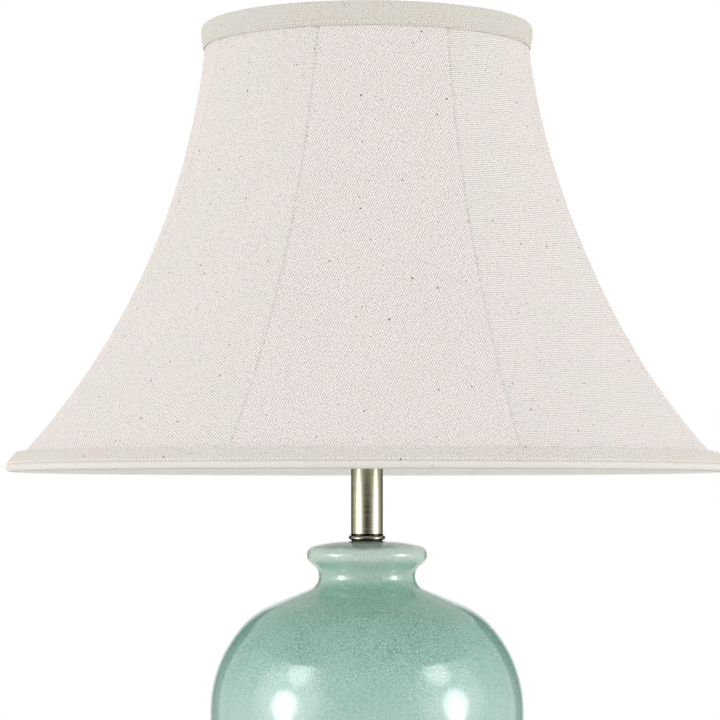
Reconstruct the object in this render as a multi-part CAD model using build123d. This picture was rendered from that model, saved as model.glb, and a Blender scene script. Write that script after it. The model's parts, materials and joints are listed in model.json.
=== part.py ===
from build123d import *
import os
from math import asin, cos, degrees, pi, radians, sin, sqrt, tan

# Ginger jar table lamp. Millimetres, +Z up, origin at the centre of the underside.
# The photograph looks along +Y, and the cord inlet is at the back, on +Y.

# ---- clearances ----
body_gap = 0.3  # between pieces that move apart
run_fit = 0.06  # radial, a shaft in its bore
slip = 0.05  # radial, a fixed piece in or on another
past = 1.0  # how far a cut runs on past the face that it leaves

# ---- base ----
felt_t = 2.0
base_r = 75.0
base_h = 30.0
base_wall = 1.4
base_band_h = 14.0  # upright band at the foot of the plinth
base_top_r = 65.0
base_lip_h = 3.5  # upright edge under the jar
base_edge_r = 1.3
sweep_r_share = 0.28  # where the hollow between band and lip passes, from the lip outwards
sweep_h_share = 0.42  # and from the band upwards
weight_r = 52.0
weight_t = 14.0
inlet_r = 3.1  # bore that a flat lamp lead passes
inlet_body_r = 4.2
inlet_flange_r = 5.6
inlet_flange_t = 1.2
inlet_depth = 5.0
inlet_above_felt = 7.0

# ---- threaded rod and its nuts ----
rod_r = 4.9
rod_bore_r = 3.2
rod_tail = 3.0  # rod below the lower nut
nut_flats = 14.0
lower_nut_t = 5.0
saddle_nut_t = 4.0
lock_washer_t = 1.4
lock_washer_r = 9.5
rod_hole_r = 5.5  # hole that the rod passes in the jar, the base and the weight

# ---- jar ----
gasket_t = 1.5
jar_h = 268.5
jar_r = 98.7
jar_wall = 6.5
jar_floor_t = 7.0
jar_recess = 4.0  # hollow under the foot ring
foot_ring_w = 10.0
foot_r = 62.0
foot_swell = 2.4  # the foot ring's rounding
foot_h = 12.0
waist_r = 60.0  # narrowest place, over the foot ring
neck_r = 30.5
neck_straight = 0.6
cove_r = 8.6  # hollow curve from the neck into the shoulder
flare_r = 7.6  # hollow curve from the neck out to the lip
lip_r = 38.2
lip_edge_r = 6.0
lip_under_deg = -50.0  # direction that the lip's underside faces
lip_over_deg = 75.0  # direction where the lip's edge meets the domed top
lid_flat_r = 11.5  # flat seat in the middle of the domed top
shoulder_r = 50.0  # upper arc of the shoulder
side_r = 80.0  # lower arc of the shoulder
shoulder_top_deg = 68.0
shoulder_low_deg = 42.0

# ---- pole ----
seat_washer_t = 0.8
seat_washer_r = 9.8
check_t = 3.4
check_r = 11.4
pole_r = 10.0
pole_wall = 1.2
pole_len = 53.8
pole_cap_r = 10.9
pole_cap_t = 2.6
spigot_h = 3.0
soft_edge_r = 0.9  # rounding of the turned caps

# ---- harp saddle, harp and ferrules ----
saddle_t = 1.6
saddle_w = 12.0
saddle_arm_x = 24.6
saddle_shoulder_h = 9.6
saddle_tab_h = 10.0
saddle_tab_w = 3.0
saddle_ledge_w = 6.0
wire_r = 1.6
ferrule_wall = 0.8
ferrule_h = 14.0
harp_h = 240.5
harp_half_w = 55.0
harp_leg_straight = 41.5
harp_knee_h = 41.0  # from the top of the straight leg to the side of the bow
harp_side_in = 2.0  # the bow's side leans in by this at the knee
harp_side_drop = 65.0  # top of the bow's side, below its crown
harp_crown_x = 34.0
harp_crown_drop = 13.2
harp_flat_x = 12.0
harp_bends = (50.0, 80.0, 100.0, 28.0, 18.0)
harp_boss_r = 6.5
harp_boss_t = 3.2

# ---- swivel stud, washer and finial ----
stud_shank_r = 2.4
stud_head_r = 4.0
stud_head_t = 1.5
stud_flange_r = 6.5
stud_flange_t = 1.7
stud_thread_r = 3.1
stud_thread_h = 16.5
washer_r = 12.0
washer_t = 2.5
insert_r = 5.0
insert_h = 17.0
insert_roof_t = 1.5
finial_foot_r = 9.0
finial_foot_h = 2.6
finial_waist_r = 6.6
finial_waist_h = 3.4
finial_ball_r = 9.0

# ---- socket ----
cap_collar_r = 7.5
cap_collar_h = 5.0
cap_r = 17.0
cap_dome_h = 10.0
cap_skirt_h = 7.0
cap_dome_r_share = 0.72  # where the cap's dome passes, from collar to skirt
cap_dome_h_share = 0.3
collar_over_rod = 1.0
sheet_t = 0.7
shell_r = 16.2
shell_h = 46.0
shell_t = 0.5
shell_overlap = 4.0  # shell inside the cap's skirt
liner_t = 0.6
liner_short = 1.0  # liner inside each end of the shell
socket_body_r = 14.5
socket_body_h = 18.0
socket_body_up = 1.0  # over the foot of the cap's skirt
lead_hole_h = 3.0  # recess where the lead enters the socket body
switch_up = 10.0  # switch axis above the cap's skirt foot
switch_hole_r = 3.6
shaft_r = 2.0
shaft_len = 22.0
shaft_in = 1.0  # shaft's inner end from the lamp's axis
knob_r = 5.5
knob_len = 11.0
knob_back = 19.0  # knob's inner face from the lamp's axis
flute_count = 12
flute_r = 0.7
flute_out = 0.2  # flute centres, out from the knob's side
screw_shell_r = 14.2
screw_shell_t = 0.5
screw_shell_h = 26.0
contact_r = 4.0
contact_t = 1.6
contact_room = 2.0  # round the centre contact, in the floor of the screw shell
terminal_r = 2.4
terminal_t = 1.6
terminal_room = 0.4
terminal_up = 4.0  # screw centres over the foot of the socket body
set_screw_r = 1.3
set_screw_len = 3.6
rod_over_collar = 1.5

# ---- bulb ----
bulb_cap_r = 13.0
bulb_cap_h = 22.5
bulb_cap_t = 0.4
bulb_thread_pitch = 3.63
bulb_thread_depth = 0.7
groove_r = 1.1
groove_out = 0.4  # groove centres, out from the cap's side
groove_first = 2.6  # first groove over the cap's edge
groove_last = 1.4  # plain band over the last groove
bulb_tip_r = 4.6
bulb_tip_t = 1.0
bulb_skirt_h = 3.2
bulb_skirt_in = 1.5
bulb_ball_r = 30.0
bulb_ball_up = 78.5  # centre of the round part over the tip
bulb_neck_r = 13.2
bulb_neck_cove_r = 26.0
bulb_neck_deg = -35.0
glass_t = 0.9
stem_r = 3.6
stem_h = 38.0
filament_r = 0.4
filament_w = 22.0
filament_rise = 16.0
filament_foot_x = 1.8
filament_bend_r = 2.0

# ---- shade ----
panel_count = 8
first_seam_deg = -63.7  # first seam, turned from the front towards +X
shade_h = 276.4  # ring centre to ring centre
top_ring_r = 102.0
bottom_ring_r = 222.0
top_wire_r = 1.6
bottom_wire_r = 1.75
cloth_top_in = 0.8  # outside of the cloth at the top ring's height, in from the ring's centre line
cloth_low_out = 0.5  # the same at the bottom ring, outwards
shade_bow = 20.0  # how far each rib bows inwards from its chord
cloth_t = 1.0
flat_share = 0.55  # how much of its roundness a gore loses half way up
flat_spread = 0.8  # the smaller, the nearer to the rings a gore goes flat
rib_r = 1.1
rib_gap = 0.2
lining_gap = 0.3
lining_t = 0.6
seam_gap = 0.06
spider_rise = 6.85
arm_r = 1.25
arm_count = 3
weld_gap = 0.45  # from an arm's end to the top ring
arm_bend_back = 12.4  # from the ring to the bend
arm_bend_r = 8.0
top_trim_lobe_r = 3.2
bottom_trim_lobe_r = 3.4
top_trim_h = 15.2
bottom_trim_h = 12.8
trim_soft_edge = 1.6
band_over_cloth = 1.3  # inside of the bottom band, out from the ring centre's line
band_shelf = 5.9  # level width of the bottom band's upper edge
trim_nose_r = 3.0  # rounding of the bottom trim's outermost lip
trim_nose_out = 3.5  # its centre, out from the ring's
trim_nose_drop = 0.3  # and below it
trim_sink = 0.1  # the band's underside, up inside the round lip
gore_stations = (0.0, 0.035, 0.15, 0.3, 0.47, 0.64, 0.8, 0.955, 1.0)

# ---- heights that follow ----
jar_z = base_h + gasket_t
jar_top = jar_z + jar_h
check_z = jar_top + seat_washer_t
pole_z = check_z + check_t
pole_top = pole_z + pole_len
saddle_z = pole_top + pole_cap_t
saddle_nut_z = saddle_z + saddle_t
cap_z = saddle_nut_z + saddle_nut_t
skirt_z = cap_z + cap_collar_h + cap_dome_h
shell_z = skirt_z + cap_skirt_h - shell_overlap
socket_body_z = skirt_z + socket_body_up
switch_z = skirt_z + switch_up
contact_z = socket_body_z + socket_body_h
terminal_z = socket_body_z + terminal_up
bulb_z = contact_z + contact_t + body_gap
bulb_cap_z = bulb_z + bulb_tip_t + bulb_skirt_h
glass_z = bulb_cap_z + bulb_cap_h
stem_top = glass_z + stem_h
weight_z = base_h - base_wall - weight_t
lower_nut_z = weight_z - lock_washer_t - lower_nut_t
rod_z = lower_nut_z - rod_tail
rod_top = cap_z + cap_collar_h + rod_over_collar
inlet_z = felt_t + inlet_above_felt
shoulder_z = saddle_z + saddle_shoulder_h
leg_foot_z = shoulder_z + body_gap
harp_top_z = leg_foot_z + harp_h
flange_z = harp_top_z + harp_boss_t / 2 + body_gap
washer_z = flange_z + stud_flange_t + body_gap
insert_z = washer_z + washer_t + body_gap
top_ring_z = washer_z + washer_t / 2 + spider_rise
bottom_ring_z = top_ring_z - shade_h
leg_x = saddle_arm_x + saddle_t / 2 + body_gap + wire_r
tab_inner_x = saddle_arm_x - saddle_t / 2
ferrule_x = (tab_inner_x + leg_x + wire_r) / 2
ferrule_bore_r = sqrt((ferrule_x - tab_inner_x) ** 2 + (saddle_tab_w / 2) ** 2) + body_gap

FLOOR = (Align.CENTER, Align.CENTER, Align.MIN)


def tube(outer_r, inner_r, z_low, z_high):
    """Upright tube, or a plain cylinder when inner_r is 0."""
    height = z_high - z_low
    solid = Cylinder(outer_r, height, align=FLOOR)
    if inner_r > 0:
        solid -= Cylinder(inner_r, height, align=FLOOR)
    return Pos(0, 0, z_low) * solid


def spun(*edges):
    """Solid turned about Z from edges drawn as (radius, height), closed along a last straight."""
    outline = Wire(list(edges))
    if not outline.is_closed:
        outline = Wire(list(edges) + [Line(outline @ 1, outline @ 0)])
    return revolve(Plane.XZ * make_face(outline.edges()), Axis.Z)


def polar(centre, radius, degrees_up):
    """Point at a distance and direction from centre, in a (radius, height) drawing."""
    return (centre[0] + radius * cos(radians(degrees_up)), centre[1] + radius * sin(radians(degrees_up)))


def arc(centre, radius, start_deg, end_deg):
    """Arc in a (radius, height) drawing."""
    return CenterArc(centre, radius, start_deg, end_deg - start_deg)


def cove_centre(wall_r, hollow_r, face_deg, face_dist):
    """Centre of a hollow arc that meets an upright wall and a straight facing face_deg."""
    x = wall_r + hollow_r
    y = (face_dist + hollow_r - x * cos(radians(face_deg))) / sin(radians(face_deg))
    return (x, y)


def face_distance(centre, radius, face_deg):
    """Distance from the origin of the straight that touches an arc where it faces face_deg."""
    return centre[0] * cos(radians(face_deg)) + centre[1] * sin(radians(face_deg)) + radius


def hex_nut(flats, hole_r, z_low, z_high):
    solid = extrude(RegularPolygon(flats / 2, 6, major_radius=False), z_high - z_low)
    solid -= Cylinder(hole_r, z_high - z_low, align=FLOOR)
    return Pos(0, 0, z_low) * solid


# ---- base ----


def plinth(inset):
    """The plinth's solid outline, drawn inside its skin by inset."""
    foot = base_r - inset
    neck = base_top_r - inset
    band_top = felt_t + base_band_h - inset
    roof = base_h - inset
    lip = base_h - base_lip_h - inset
    sweep_mid = (neck + sweep_r_share * (foot - neck), band_top + sweep_h_share * (lip - band_top))
    return spun(
        Line((0, felt_t), (foot, felt_t)),
        Line((foot, felt_t), (foot, band_top)),
        ThreePointArc((foot, band_top), sweep_mid, (neck, lip)),
        Line((neck, lip), (neck, roof)),
        Line((neck, roof), (0, roof)),
    )


def base_shell():
    solid = plinth(0)
    hollow_corner_z = base_h - base_lip_h
    rims = solid.edges().filter_by(GeomType.CIRCLE).sort_by(Axis.Z)[1:]
    solid = fillet([rim for rim in rims if rim.center().Z != hollow_corner_z], base_edge_r)
    solid -= plinth(base_wall)
    solid -= tube(rod_hole_r, 0, 0, base_h + past)
    hole = Cylinder(inlet_body_r + slip, 4 * inlet_depth, rotation=(90, 0, 0))
    return solid - Pos(0, base_r, inlet_z) * hole


def cord_bushing():
    inner = base_r - inlet_depth
    body = Cylinder(inlet_body_r, inlet_depth, align=FLOOR)
    body += Pos(0, 0, inlet_depth) * Cylinder(inlet_flange_r, inlet_flange_t, align=FLOOR)
    body -= Cylinder(inlet_r, inlet_depth + inlet_flange_t, align=FLOOR)
    return Pos(0, inner, inlet_z) * Rot(-90, 0, 0) * body


# ---- jar ----


lip_drop = lip_edge_r * sin(radians(lip_over_deg))
lip_meet_r = lip_r - lip_edge_r + lip_edge_r * cos(radians(lip_over_deg))
dome_r = (lip_meet_r - lid_flat_r) / cos(radians(lip_over_deg))
lip_c = (lip_r - lip_edge_r, jar_top - dome_r * (1 - sin(radians(lip_over_deg))) - lip_drop)
dome_c = (lid_flat_r, jar_top - dome_r)
flare_c = cove_centre(neck_r, flare_r, lip_under_deg, face_distance(lip_c, lip_edge_r, lip_under_deg))
cove_c = (neck_r + cove_r, flare_c[1] - neck_straight)
side_x = jar_r - side_r
shoulder_x = side_x + (side_r - shoulder_r) * cos(radians(shoulder_low_deg))
slope_out = cos(radians(shoulder_top_deg))  # the way that the shoulder's straight slope faces
slope_up = sin(radians(shoulder_top_deg))
slope_dist = cove_c[0] * slope_out + cove_c[1] * slope_up - cove_r
shoulder_c = (shoulder_x, (slope_dist - shoulder_r - shoulder_x * slope_out) / slope_up)
side_c = (side_x, shoulder_c[1] - (side_r - shoulder_r) * sin(radians(shoulder_low_deg)))
wide_z = side_c[1]
foot_top = jar_z + foot_h
belly_in = jar_r - waist_r
belly_r = (belly_in**2 + (wide_z - foot_top) ** 2) / (2 * belly_in)
belly_c = (jar_r - belly_r, wide_z)


def jar_side(inset, low_z):
    """Belly, shoulder, slope and cove from low_z up to the neck, inside the skin by inset."""
    low_deg = -asin((wide_z - low_z) / (belly_r - inset)) * 180 / pi
    slope_low = polar(shoulder_c, shoulder_r - inset, shoulder_top_deg)
    slope_top = polar(cove_c, cove_r + inset, shoulder_top_deg + 180)
    return [
        arc(belly_c, belly_r - inset, low_deg, 0),
        arc(side_c, side_r - inset, 0, shoulder_low_deg),
        arc(shoulder_c, shoulder_r - inset, shoulder_low_deg, shoulder_top_deg),
        Line(slope_low, slope_top),
        arc(cove_c, cove_r + inset, shoulder_top_deg + 180, 180),
    ]


def jar():
    under_start = polar(flare_c, flare_r, lip_under_deg + 180)
    under_end = polar(lip_c, lip_edge_r, lip_under_deg)
    outside = jar_side(0, foot_top) + [
        Line((neck_r, cove_c[1]), (neck_r, flare_c[1])),
        arc(flare_c, flare_r, 180, lip_under_deg + 180),
        Line(under_start, under_end),
        arc(lip_c, lip_edge_r, lip_under_deg, lip_over_deg),
        arc(dome_c, dome_r, lip_over_deg, 90),
        Line((lid_flat_r, jar_top), (0, jar_top)),
        Line((0, jar_top), (0, jar_z)),
        Line((0, jar_z), (foot_r, jar_z)),
        ThreePointArc((foot_r, jar_z), (foot_r + foot_swell, jar_z + foot_h / 2), (waist_r, foot_top)),
    ]
    solid = spun(*outside)
    floor_z = jar_z + jar_recess + jar_floor_t
    roof_z = jar_top - jar_floor_t
    hollow = jar_side(jar_wall, floor_z)
    start = hollow[0] @ 0
    neck_in = neck_r - jar_wall
    hollow += [
        Line((neck_in, cove_c[1]), (neck_in, roof_z)),
        Line((neck_in, roof_z), (0, roof_z)),
        Line((0, roof_z), (0, floor_z)),
        Line((0, floor_z), (start.X, start.Y)),
    ]
    solid -= spun(*hollow)
    solid -= tube(rod_hole_r, 0, jar_z - past, jar_top + past)
    solid -= tube(foot_r - foot_ring_w, 0, jar_z, jar_z + jar_recess)
    return solid


# ---- pole ----


def turned_cap(outer_r, z_low, z_high, spigot_up):
    """Small turned disc with rounded rims and a spigot that centres the pole tube."""
    disc = tube(outer_r, 0, z_low, z_high)
    disc = fillet(disc.edges().filter_by(GeomType.CIRCLE), soft_edge_r)
    spigot_r = pole_r - pole_wall - slip
    if spigot_up:
        disc += tube(spigot_r, 0, z_high, z_high + spigot_h)
    else:
        disc += tube(spigot_r, 0, z_low - spigot_h, z_low)
    return disc - tube(rod_hole_r, 0, z_low - spigot_h, z_high + spigot_h)


# ---- saddle, harp and ferrules ----


def harp_saddle():
    width = 2 * saddle_arm_x + saddle_t
    solid = Pos(0, 0, saddle_z) * Box(width, saddle_w, saddle_t, align=FLOOR)
    for side in (-1, 1):
        arm_x = side * saddle_arm_x
        solid += Pos(arm_x, 0, saddle_z) * Box(saddle_t, saddle_w, saddle_shoulder_h, align=FLOOR)
        solid += Pos(arm_x, 0, shoulder_z) * Box(saddle_t, saddle_tab_w, saddle_tab_h, align=FLOOR)
        ledge_len = leg_x + wire_r - tab_inner_x
        ledge_x = side * (tab_inner_x + ledge_len / 2)
        ledge = Box(ledge_len, saddle_ledge_w, saddle_t, align=FLOOR)
        solid += Pos(ledge_x, 0, shoulder_z - saddle_t) * ledge
    return solid - tube(rod_hole_r, 0, saddle_z - past, saddle_z + saddle_t + past)


def wire_along(path, radius):
    start = Plane(origin=path @ 0, z_dir=path % 0)
    return sweep(start * Circle(radius), path=path)


def harp_bow():
    knee_z = leg_foot_z + harp_leg_straight
    half = [
        (leg_x, leg_foot_z),
        (leg_x, knee_z),
        (harp_half_w - harp_side_in, knee_z + harp_knee_h),
        (harp_half_w, harp_top_z - harp_side_drop),
        (harp_crown_x, harp_top_z - harp_crown_drop),
        (harp_flat_x, harp_top_z),
    ]
    points = [(x, 0, z) for x, z in half] + [(-x, 0, z) for x, z in reversed(half)]
    path = FilletPolyline(*points, radius=harp_bends + harp_bends[::-1])
    boss = tube(harp_boss_r, 0, harp_top_z - harp_boss_t / 2, harp_top_z + harp_boss_t / 2)
    solid = wire_along(path, wire_r) + boss
    return solid - tube(stud_shank_r + run_fit, 0, harp_top_z - harp_boss_t, harp_top_z + harp_boss_t)


def ferrule(side):
    sleeve = tube(ferrule_bore_r + ferrule_wall, ferrule_bore_r, leg_foot_z, leg_foot_z + ferrule_h)
    return Pos(side * ferrule_x, 0, 0) * sleeve


def harp_stud():
    head_top = harp_top_z - harp_boss_t / 2 - body_gap
    solid = tube(stud_head_r, 0, head_top - stud_head_t, head_top)
    solid += tube(stud_shank_r, 0, head_top, flange_z)
    solid += tube(stud_flange_r, 0, flange_z, flange_z + stud_flange_t)
    return solid + tube(stud_thread_r, 0, flange_z + stud_flange_t, flange_z + stud_flange_t + stud_thread_h)


def finial_insert():
    solid = tube(insert_r, 0, insert_z, insert_z + insert_h)
    return solid - tube(stud_thread_r + run_fit, 0, insert_z, insert_z + insert_h - insert_roof_t)


def finial_knob():
    foot_z = insert_z + finial_foot_h
    waist_z = foot_z + finial_waist_h
    ball_z = waist_z + sqrt(finial_ball_r**2 - finial_waist_r**2)
    solid = tube(finial_foot_r, 0, insert_z, foot_z)
    solid = fillet(solid.edges().filter_by(GeomType.CIRCLE), soft_edge_r)
    solid += tube(finial_waist_r, 0, foot_z, ball_z)
    solid += Pos(0, 0, ball_z) * Sphere(finial_ball_r)
    return solid - tube(insert_r + run_fit, 0, insert_z, insert_z + insert_h + body_gap)


# ---- socket ----


def cap_form(inset):
    """Socket cap's outside, drawn inside its skin by inset."""
    collar = cap_collar_r - inset
    skirt = cap_r - inset
    dome_z = cap_z + cap_collar_h + inset
    low_z = cap_z + inset
    top_z = skirt_z + cap_skirt_h
    return spun(
        Line((0, low_z), (collar, low_z)),
        Line((collar, low_z), (collar, dome_z)),
        ThreePointArc(
            (collar, dome_z),
            (collar + cap_dome_r_share * (skirt - collar), dome_z + cap_dome_h_share * (skirt_z - dome_z)),
            (skirt, skirt_z),
        ),
        Line((skirt, skirt_z), (skirt, top_z)),
        Line((skirt, top_z), (0, top_z)),
    )


def socket_cap():
    solid = cap_form(0) - cap_form(sheet_t)
    solid += tube(cap_collar_r, 0, cap_z, rod_top + collar_over_rod)
    solid -= tube(rod_r + slip, 0, cap_z - past, rod_top + collar_over_rod + past)
    return solid - set_screw_at(set_screw_r + slip)


def set_screw_at(radius):
    pin = Cylinder(radius, set_screw_len, rotation=(90, 0, 0), align=FLOOR)
    return Pos(0, rod_r + slip + set_screw_len, cap_z + cap_collar_h / 2) * pin


def socket_shell():
    solid = tube(shell_r, shell_r - shell_t, shell_z, shell_z + shell_h)
    bead = Torus(shell_r, shell_t)
    solid += Pos(0, 0, shell_z + shell_h - shell_t) * bead
    return solid - switch_passage()


def switch_passage():
    return Pos(0, 0, switch_z) * Cylinder(switch_hole_r, shell_r + past, rotation=(90, 0, 0), align=FLOOR)


def shell_liner():
    outer = shell_r - shell_t - slip
    liner = tube(outer, outer - liner_t, shell_z + liner_short, shell_z + shell_h - liner_short)
    return liner - switch_passage()


def socket_body():
    solid = tube(socket_body_r, 0, socket_body_z, contact_z)
    solid -= tube(rod_bore_r, 0, socket_body_z, socket_body_z + lead_hole_h)
    pocket = Cylinder(terminal_r + terminal_room, 2 * (terminal_t + slip), rotation=(0, 90, 0))
    for side in (-1, 1):
        solid -= Pos(side * socket_body_r, 0, terminal_z) * pocket
    bore = Cylinder(shaft_r + run_fit, socket_body_r + past, rotation=(90, 0, 0), align=FLOOR)
    return solid - Pos(0, 0, switch_z) * bore


def screw_shell():
    rim = screw_shell_r - screw_shell_t
    solid = tube(screw_shell_r, rim, contact_z, contact_z + screw_shell_h)
    floor = tube(rim, contact_r + contact_room, contact_z, contact_z + screw_shell_t)
    return solid + floor


def terminal_screws():
    head = Cylinder(terminal_r, terminal_t, rotation=(0, 90, 0))
    x = socket_body_r - terminal_t / 2
    left = Pos(-x, 0, terminal_z) * head
    right = Pos(x, 0, terminal_z) * head
    return left, right


def switch_shaft():
    return Pos(0, -shaft_in, switch_z) * Cylinder(shaft_r, shaft_len, rotation=(90, 0, 0), align=FLOOR)


def switch_knob():
    """Ribbed knob on the shaft's outer end."""
    solid = Cylinder(knob_r, knob_len, align=FLOOR)
    solid = fillet(solid.edges().filter_by(GeomType.CIRCLE).sort_by(Axis.Z)[-1:], soft_edge_r)
    for step in range(flute_count):
        flute = Cylinder(flute_r, knob_len, align=FLOOR)
        solid -= Rot(0, 0, step * 360 / flute_count) * Pos(knob_r + flute_out, 0, 0) * flute
    solid -= Cylinder(shaft_r + slip, shaft_in + shaft_len - knob_back + slip, align=FLOOR)
    return Pos(0, -knob_back, switch_z) * Rot(90, 0, 0) * solid


# ---- bulb ----


def bulb_form(inset):
    """Glass of the bulb, drawn inside its skin by inset."""
    ball_c = (0, bulb_z + bulb_ball_up)
    line_dist = face_distance(ball_c, bulb_ball_r, bulb_neck_deg)
    hollow_c = cove_centre(bulb_neck_r, bulb_neck_cove_r, bulb_neck_deg, line_dist)
    low_z = glass_z + inset
    slope_low = polar(hollow_c, bulb_neck_cove_r + inset, bulb_neck_deg + 180)
    slope_top = polar(ball_c, bulb_ball_r - inset, bulb_neck_deg)
    neck = bulb_neck_r - inset
    return spun(
        Line((0, low_z), (neck, low_z)),
        Line((neck, low_z), (neck, hollow_c[1])),
        arc(hollow_c, bulb_neck_cove_r + inset, 180, bulb_neck_deg + 180),
        Line(slope_low, slope_top),
        arc(ball_c, bulb_ball_r - inset, bulb_neck_deg, 90),
    )


def bulb_cap():
    """Screw cap with its rolled thread drawn as rings."""
    solid = tube(bulb_cap_r, bulb_cap_r - bulb_thread_depth - bulb_cap_t, bulb_cap_z, glass_z)
    grooves = int((bulb_cap_h - groove_first - groove_last) / bulb_thread_pitch)
    for turn in range(grooves):
        groove = Torus(bulb_cap_r + groove_out, groove_r)
        solid -= Pos(0, 0, bulb_cap_z + groove_first + turn * bulb_thread_pitch) * groove
    return solid


def bulb_insulator():
    low_z = bulb_z + bulb_tip_t
    return spun(
        Line((0, low_z), (bulb_tip_r, low_z)),
        Line((bulb_tip_r, low_z), (bulb_cap_r - bulb_skirt_in, bulb_cap_z)),
        Line((bulb_cap_r - bulb_skirt_in, bulb_cap_z), (0, bulb_cap_z)),
    )


def bulb_filament():
    foot_z = stem_top + filament_r
    half = filament_w / 2
    points = [
        (-filament_foot_x, 0, foot_z),
        (-half, 0, foot_z + filament_rise),
        (half, 0, foot_z + filament_rise),
        (filament_foot_x, 0, foot_z),
    ]
    return wire_along(FilletPolyline(*points, radius=filament_bend_r), filament_r)


# ---- shade ----


top_line_r = top_ring_r - cloth_top_in
bottom_line_r = bottom_ring_r + cloth_low_out
chord_r = bottom_line_r - top_line_r
chord = sqrt(chord_r**2 + shade_h**2)
bow_r = (chord**2 / 4 + shade_bow**2) / (2 * shade_bow)
bow_c = (
    (top_line_r + bottom_line_r) / 2 + (bow_r - shade_bow) * shade_h / chord,
    (top_ring_z + bottom_ring_z) / 2 + (bow_r - shade_bow) * chord_r / chord,
)
cloth_low_z = bottom_ring_z + bottom_trim_lobe_r
cloth_top_z = top_ring_z - top_trim_lobe_r - rib_gap
trim_top_z = bottom_ring_z + bottom_trim_h - bottom_trim_lobe_r
trim_low_z = top_ring_z - top_trim_h + top_trim_lobe_r


def line_radius(z, inward=0.0):
    """Radius of the rib line at a height, drawn inwards square to the cloth."""
    return bow_c[0] - sqrt((bow_r + inward) ** 2 - (z - bow_c[1]) ** 2)


def roundness(z):
    """1 where a gore is as round as the rings, less half way up."""
    span = trim_low_z - trim_top_z
    share = (z - trim_top_z) / span
    if share <= 0 or share >= 1:
        return 1.0
    return 1 - flat_share * sin(pi * share) ** flat_spread


def seam_angle(index):
    """Direction of a seam as an angle from +X, in radians."""
    return radians(first_seam_deg - 90 + index * 360 / panel_count)


def gore_section(index, z, inward, thickness):
    """Level slice through one gore: two shallow arcs and two short radial ends."""
    start = seam_angle(index)
    end = seam_angle(index + 1)
    middle = (start + end) / 2
    outer = line_radius(z, inward)
    swell = outer * (1 - cos((end - start) / 2))
    mid_outer = outer - swell * (1 - roundness(z))
    trim = seam_gap / 2 / outer

    def at(radius, angle):
        return (radius * cos(angle), radius * sin(angle), z)

    a = at(outer, start + trim)
    b = at(outer, end - trim)
    c = at(outer - thickness, end - trim)
    d = at(outer - thickness, start + trim)
    edges = [
        ThreePointArc(a, at(mid_outer, middle), b),
        Line(b, c),
        ThreePointArc(c, at(mid_outer - thickness, middle), d),
        Line(d, a),
    ]
    return Face(Wire(edges))


def gore(index, inward, thickness, z_low, z_high):
    heights = [z_low + share * (z_high - z_low) for share in gore_stations]
    return loft([gore_section(index, z, inward, thickness) for z in heights])


def rib(index):
    """One upright wire under a seam, bent to the shade's curve."""
    inward = cloth_t + rib_gap + rib_r
    low_z = bottom_ring_z + bottom_wire_r + rib_gap
    top_z = top_ring_z - top_wire_r
    angle = seam_angle(index)
    points = []
    for z in (low_z, (low_z + top_z) / 2, top_z):
        r = line_radius(z, inward)
        points.append((r * cos(angle), r * sin(angle), z))
    return wire_along(ThreePointArc(*points), rib_r)


def spider_arm(index):
    reach = top_ring_r - top_wire_r - weld_gap
    mid_z = washer_z + washer_t / 2
    points = [(washer_r, 0, mid_z), (reach - arm_bend_back, 0, mid_z), (reach, 0, top_ring_z)]
    arm = wire_along(FilletPolyline(*points, radius=arm_bend_r), arm_r)
    return Rot(0, 0, 90 + index * 360 / arm_count) * arm


def wire_ring(ring_r, radius, z):
    return Pos(0, 0, z) * Torus(ring_r, radius)


def top_trim(ribs, arms):
    """Folded band that wraps the top ring and covers the cloth's upper edge."""
    lobe = Pos(0, 0, top_ring_z) * Torus(top_ring_r, top_trim_lobe_r)
    outer = top_ring_r + top_trim_lobe_r
    inner = line_radius(trim_low_z) + rib_gap
    band = tube(outer, inner, trim_low_z, top_ring_z)
    rim = band.edges().filter_by(GeomType.CIRCLE).sort_by(Axis.Z)[:2].sort_by(SortBy.RADIUS)[-1:]
    band = fillet(rim, min(trim_soft_edge, (outer - inner) / 2))
    solid = band + lobe
    solid -= wire_ring(top_ring_r, top_wire_r + slip, top_ring_z)
    for wire in ribs + arms:
        solid -= wire
    return solid


def bottom_trim(ribs):
    """Thick padded band round the bottom ring, its face in line with the cloth above."""
    lean = asin((bow_c[1] - bottom_ring_z) / bow_r)
    nose = (bottom_ring_r + trim_nose_out, bottom_ring_z - trim_nose_drop)
    foot_r = bottom_ring_r + band_over_cloth * cos(lean)
    foot_z = bottom_ring_z + band_over_cloth * sin(lean)
    edge_r = foot_r - (trim_top_z - foot_z) * tan(lean)
    under_ring = (bottom_ring_r, bottom_ring_z - bottom_trim_lobe_r + trim_sink)
    under_nose = (nose[0], nose[1] - trim_nose_r + trim_sink)
    over_nose = polar(nose, trim_nose_r, degrees(lean))
    band = spun(
        Line(under_ring, under_nose),
        Line(under_nose, over_nose),
        Line(over_nose, (edge_r + band_shelf, trim_top_z)),
        Line((edge_r + band_shelf, trim_top_z), (edge_r, trim_top_z)),
        Line((edge_r, trim_top_z), (foot_r, foot_z)),
    )
    rim = band.edges().filter_by(GeomType.CIRCLE).sort_by(Axis.Z)[-2:].sort_by(SortBy.RADIUS)[-1:]
    band = fillet(rim, trim_soft_edge)
    solid = band + wire_ring(bottom_ring_r, bottom_trim_lobe_r, bottom_ring_z)
    solid += wire_ring(nose[0], trim_nose_r, nose[1])
    solid -= wire_ring(bottom_ring_r, bottom_wire_r + slip, bottom_ring_z)
    for rib_wire in ribs:
        solid -= rib_wire
    return solid


def save(name, *solids):
    shape = solids[0] if len(solids) == 1 else Compound(children=list(solids))
    export_step(shape, f"parts/{name}.step")
    print(name, round(shape.volume, 1))


os.makedirs("parts", exist_ok=True)

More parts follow.
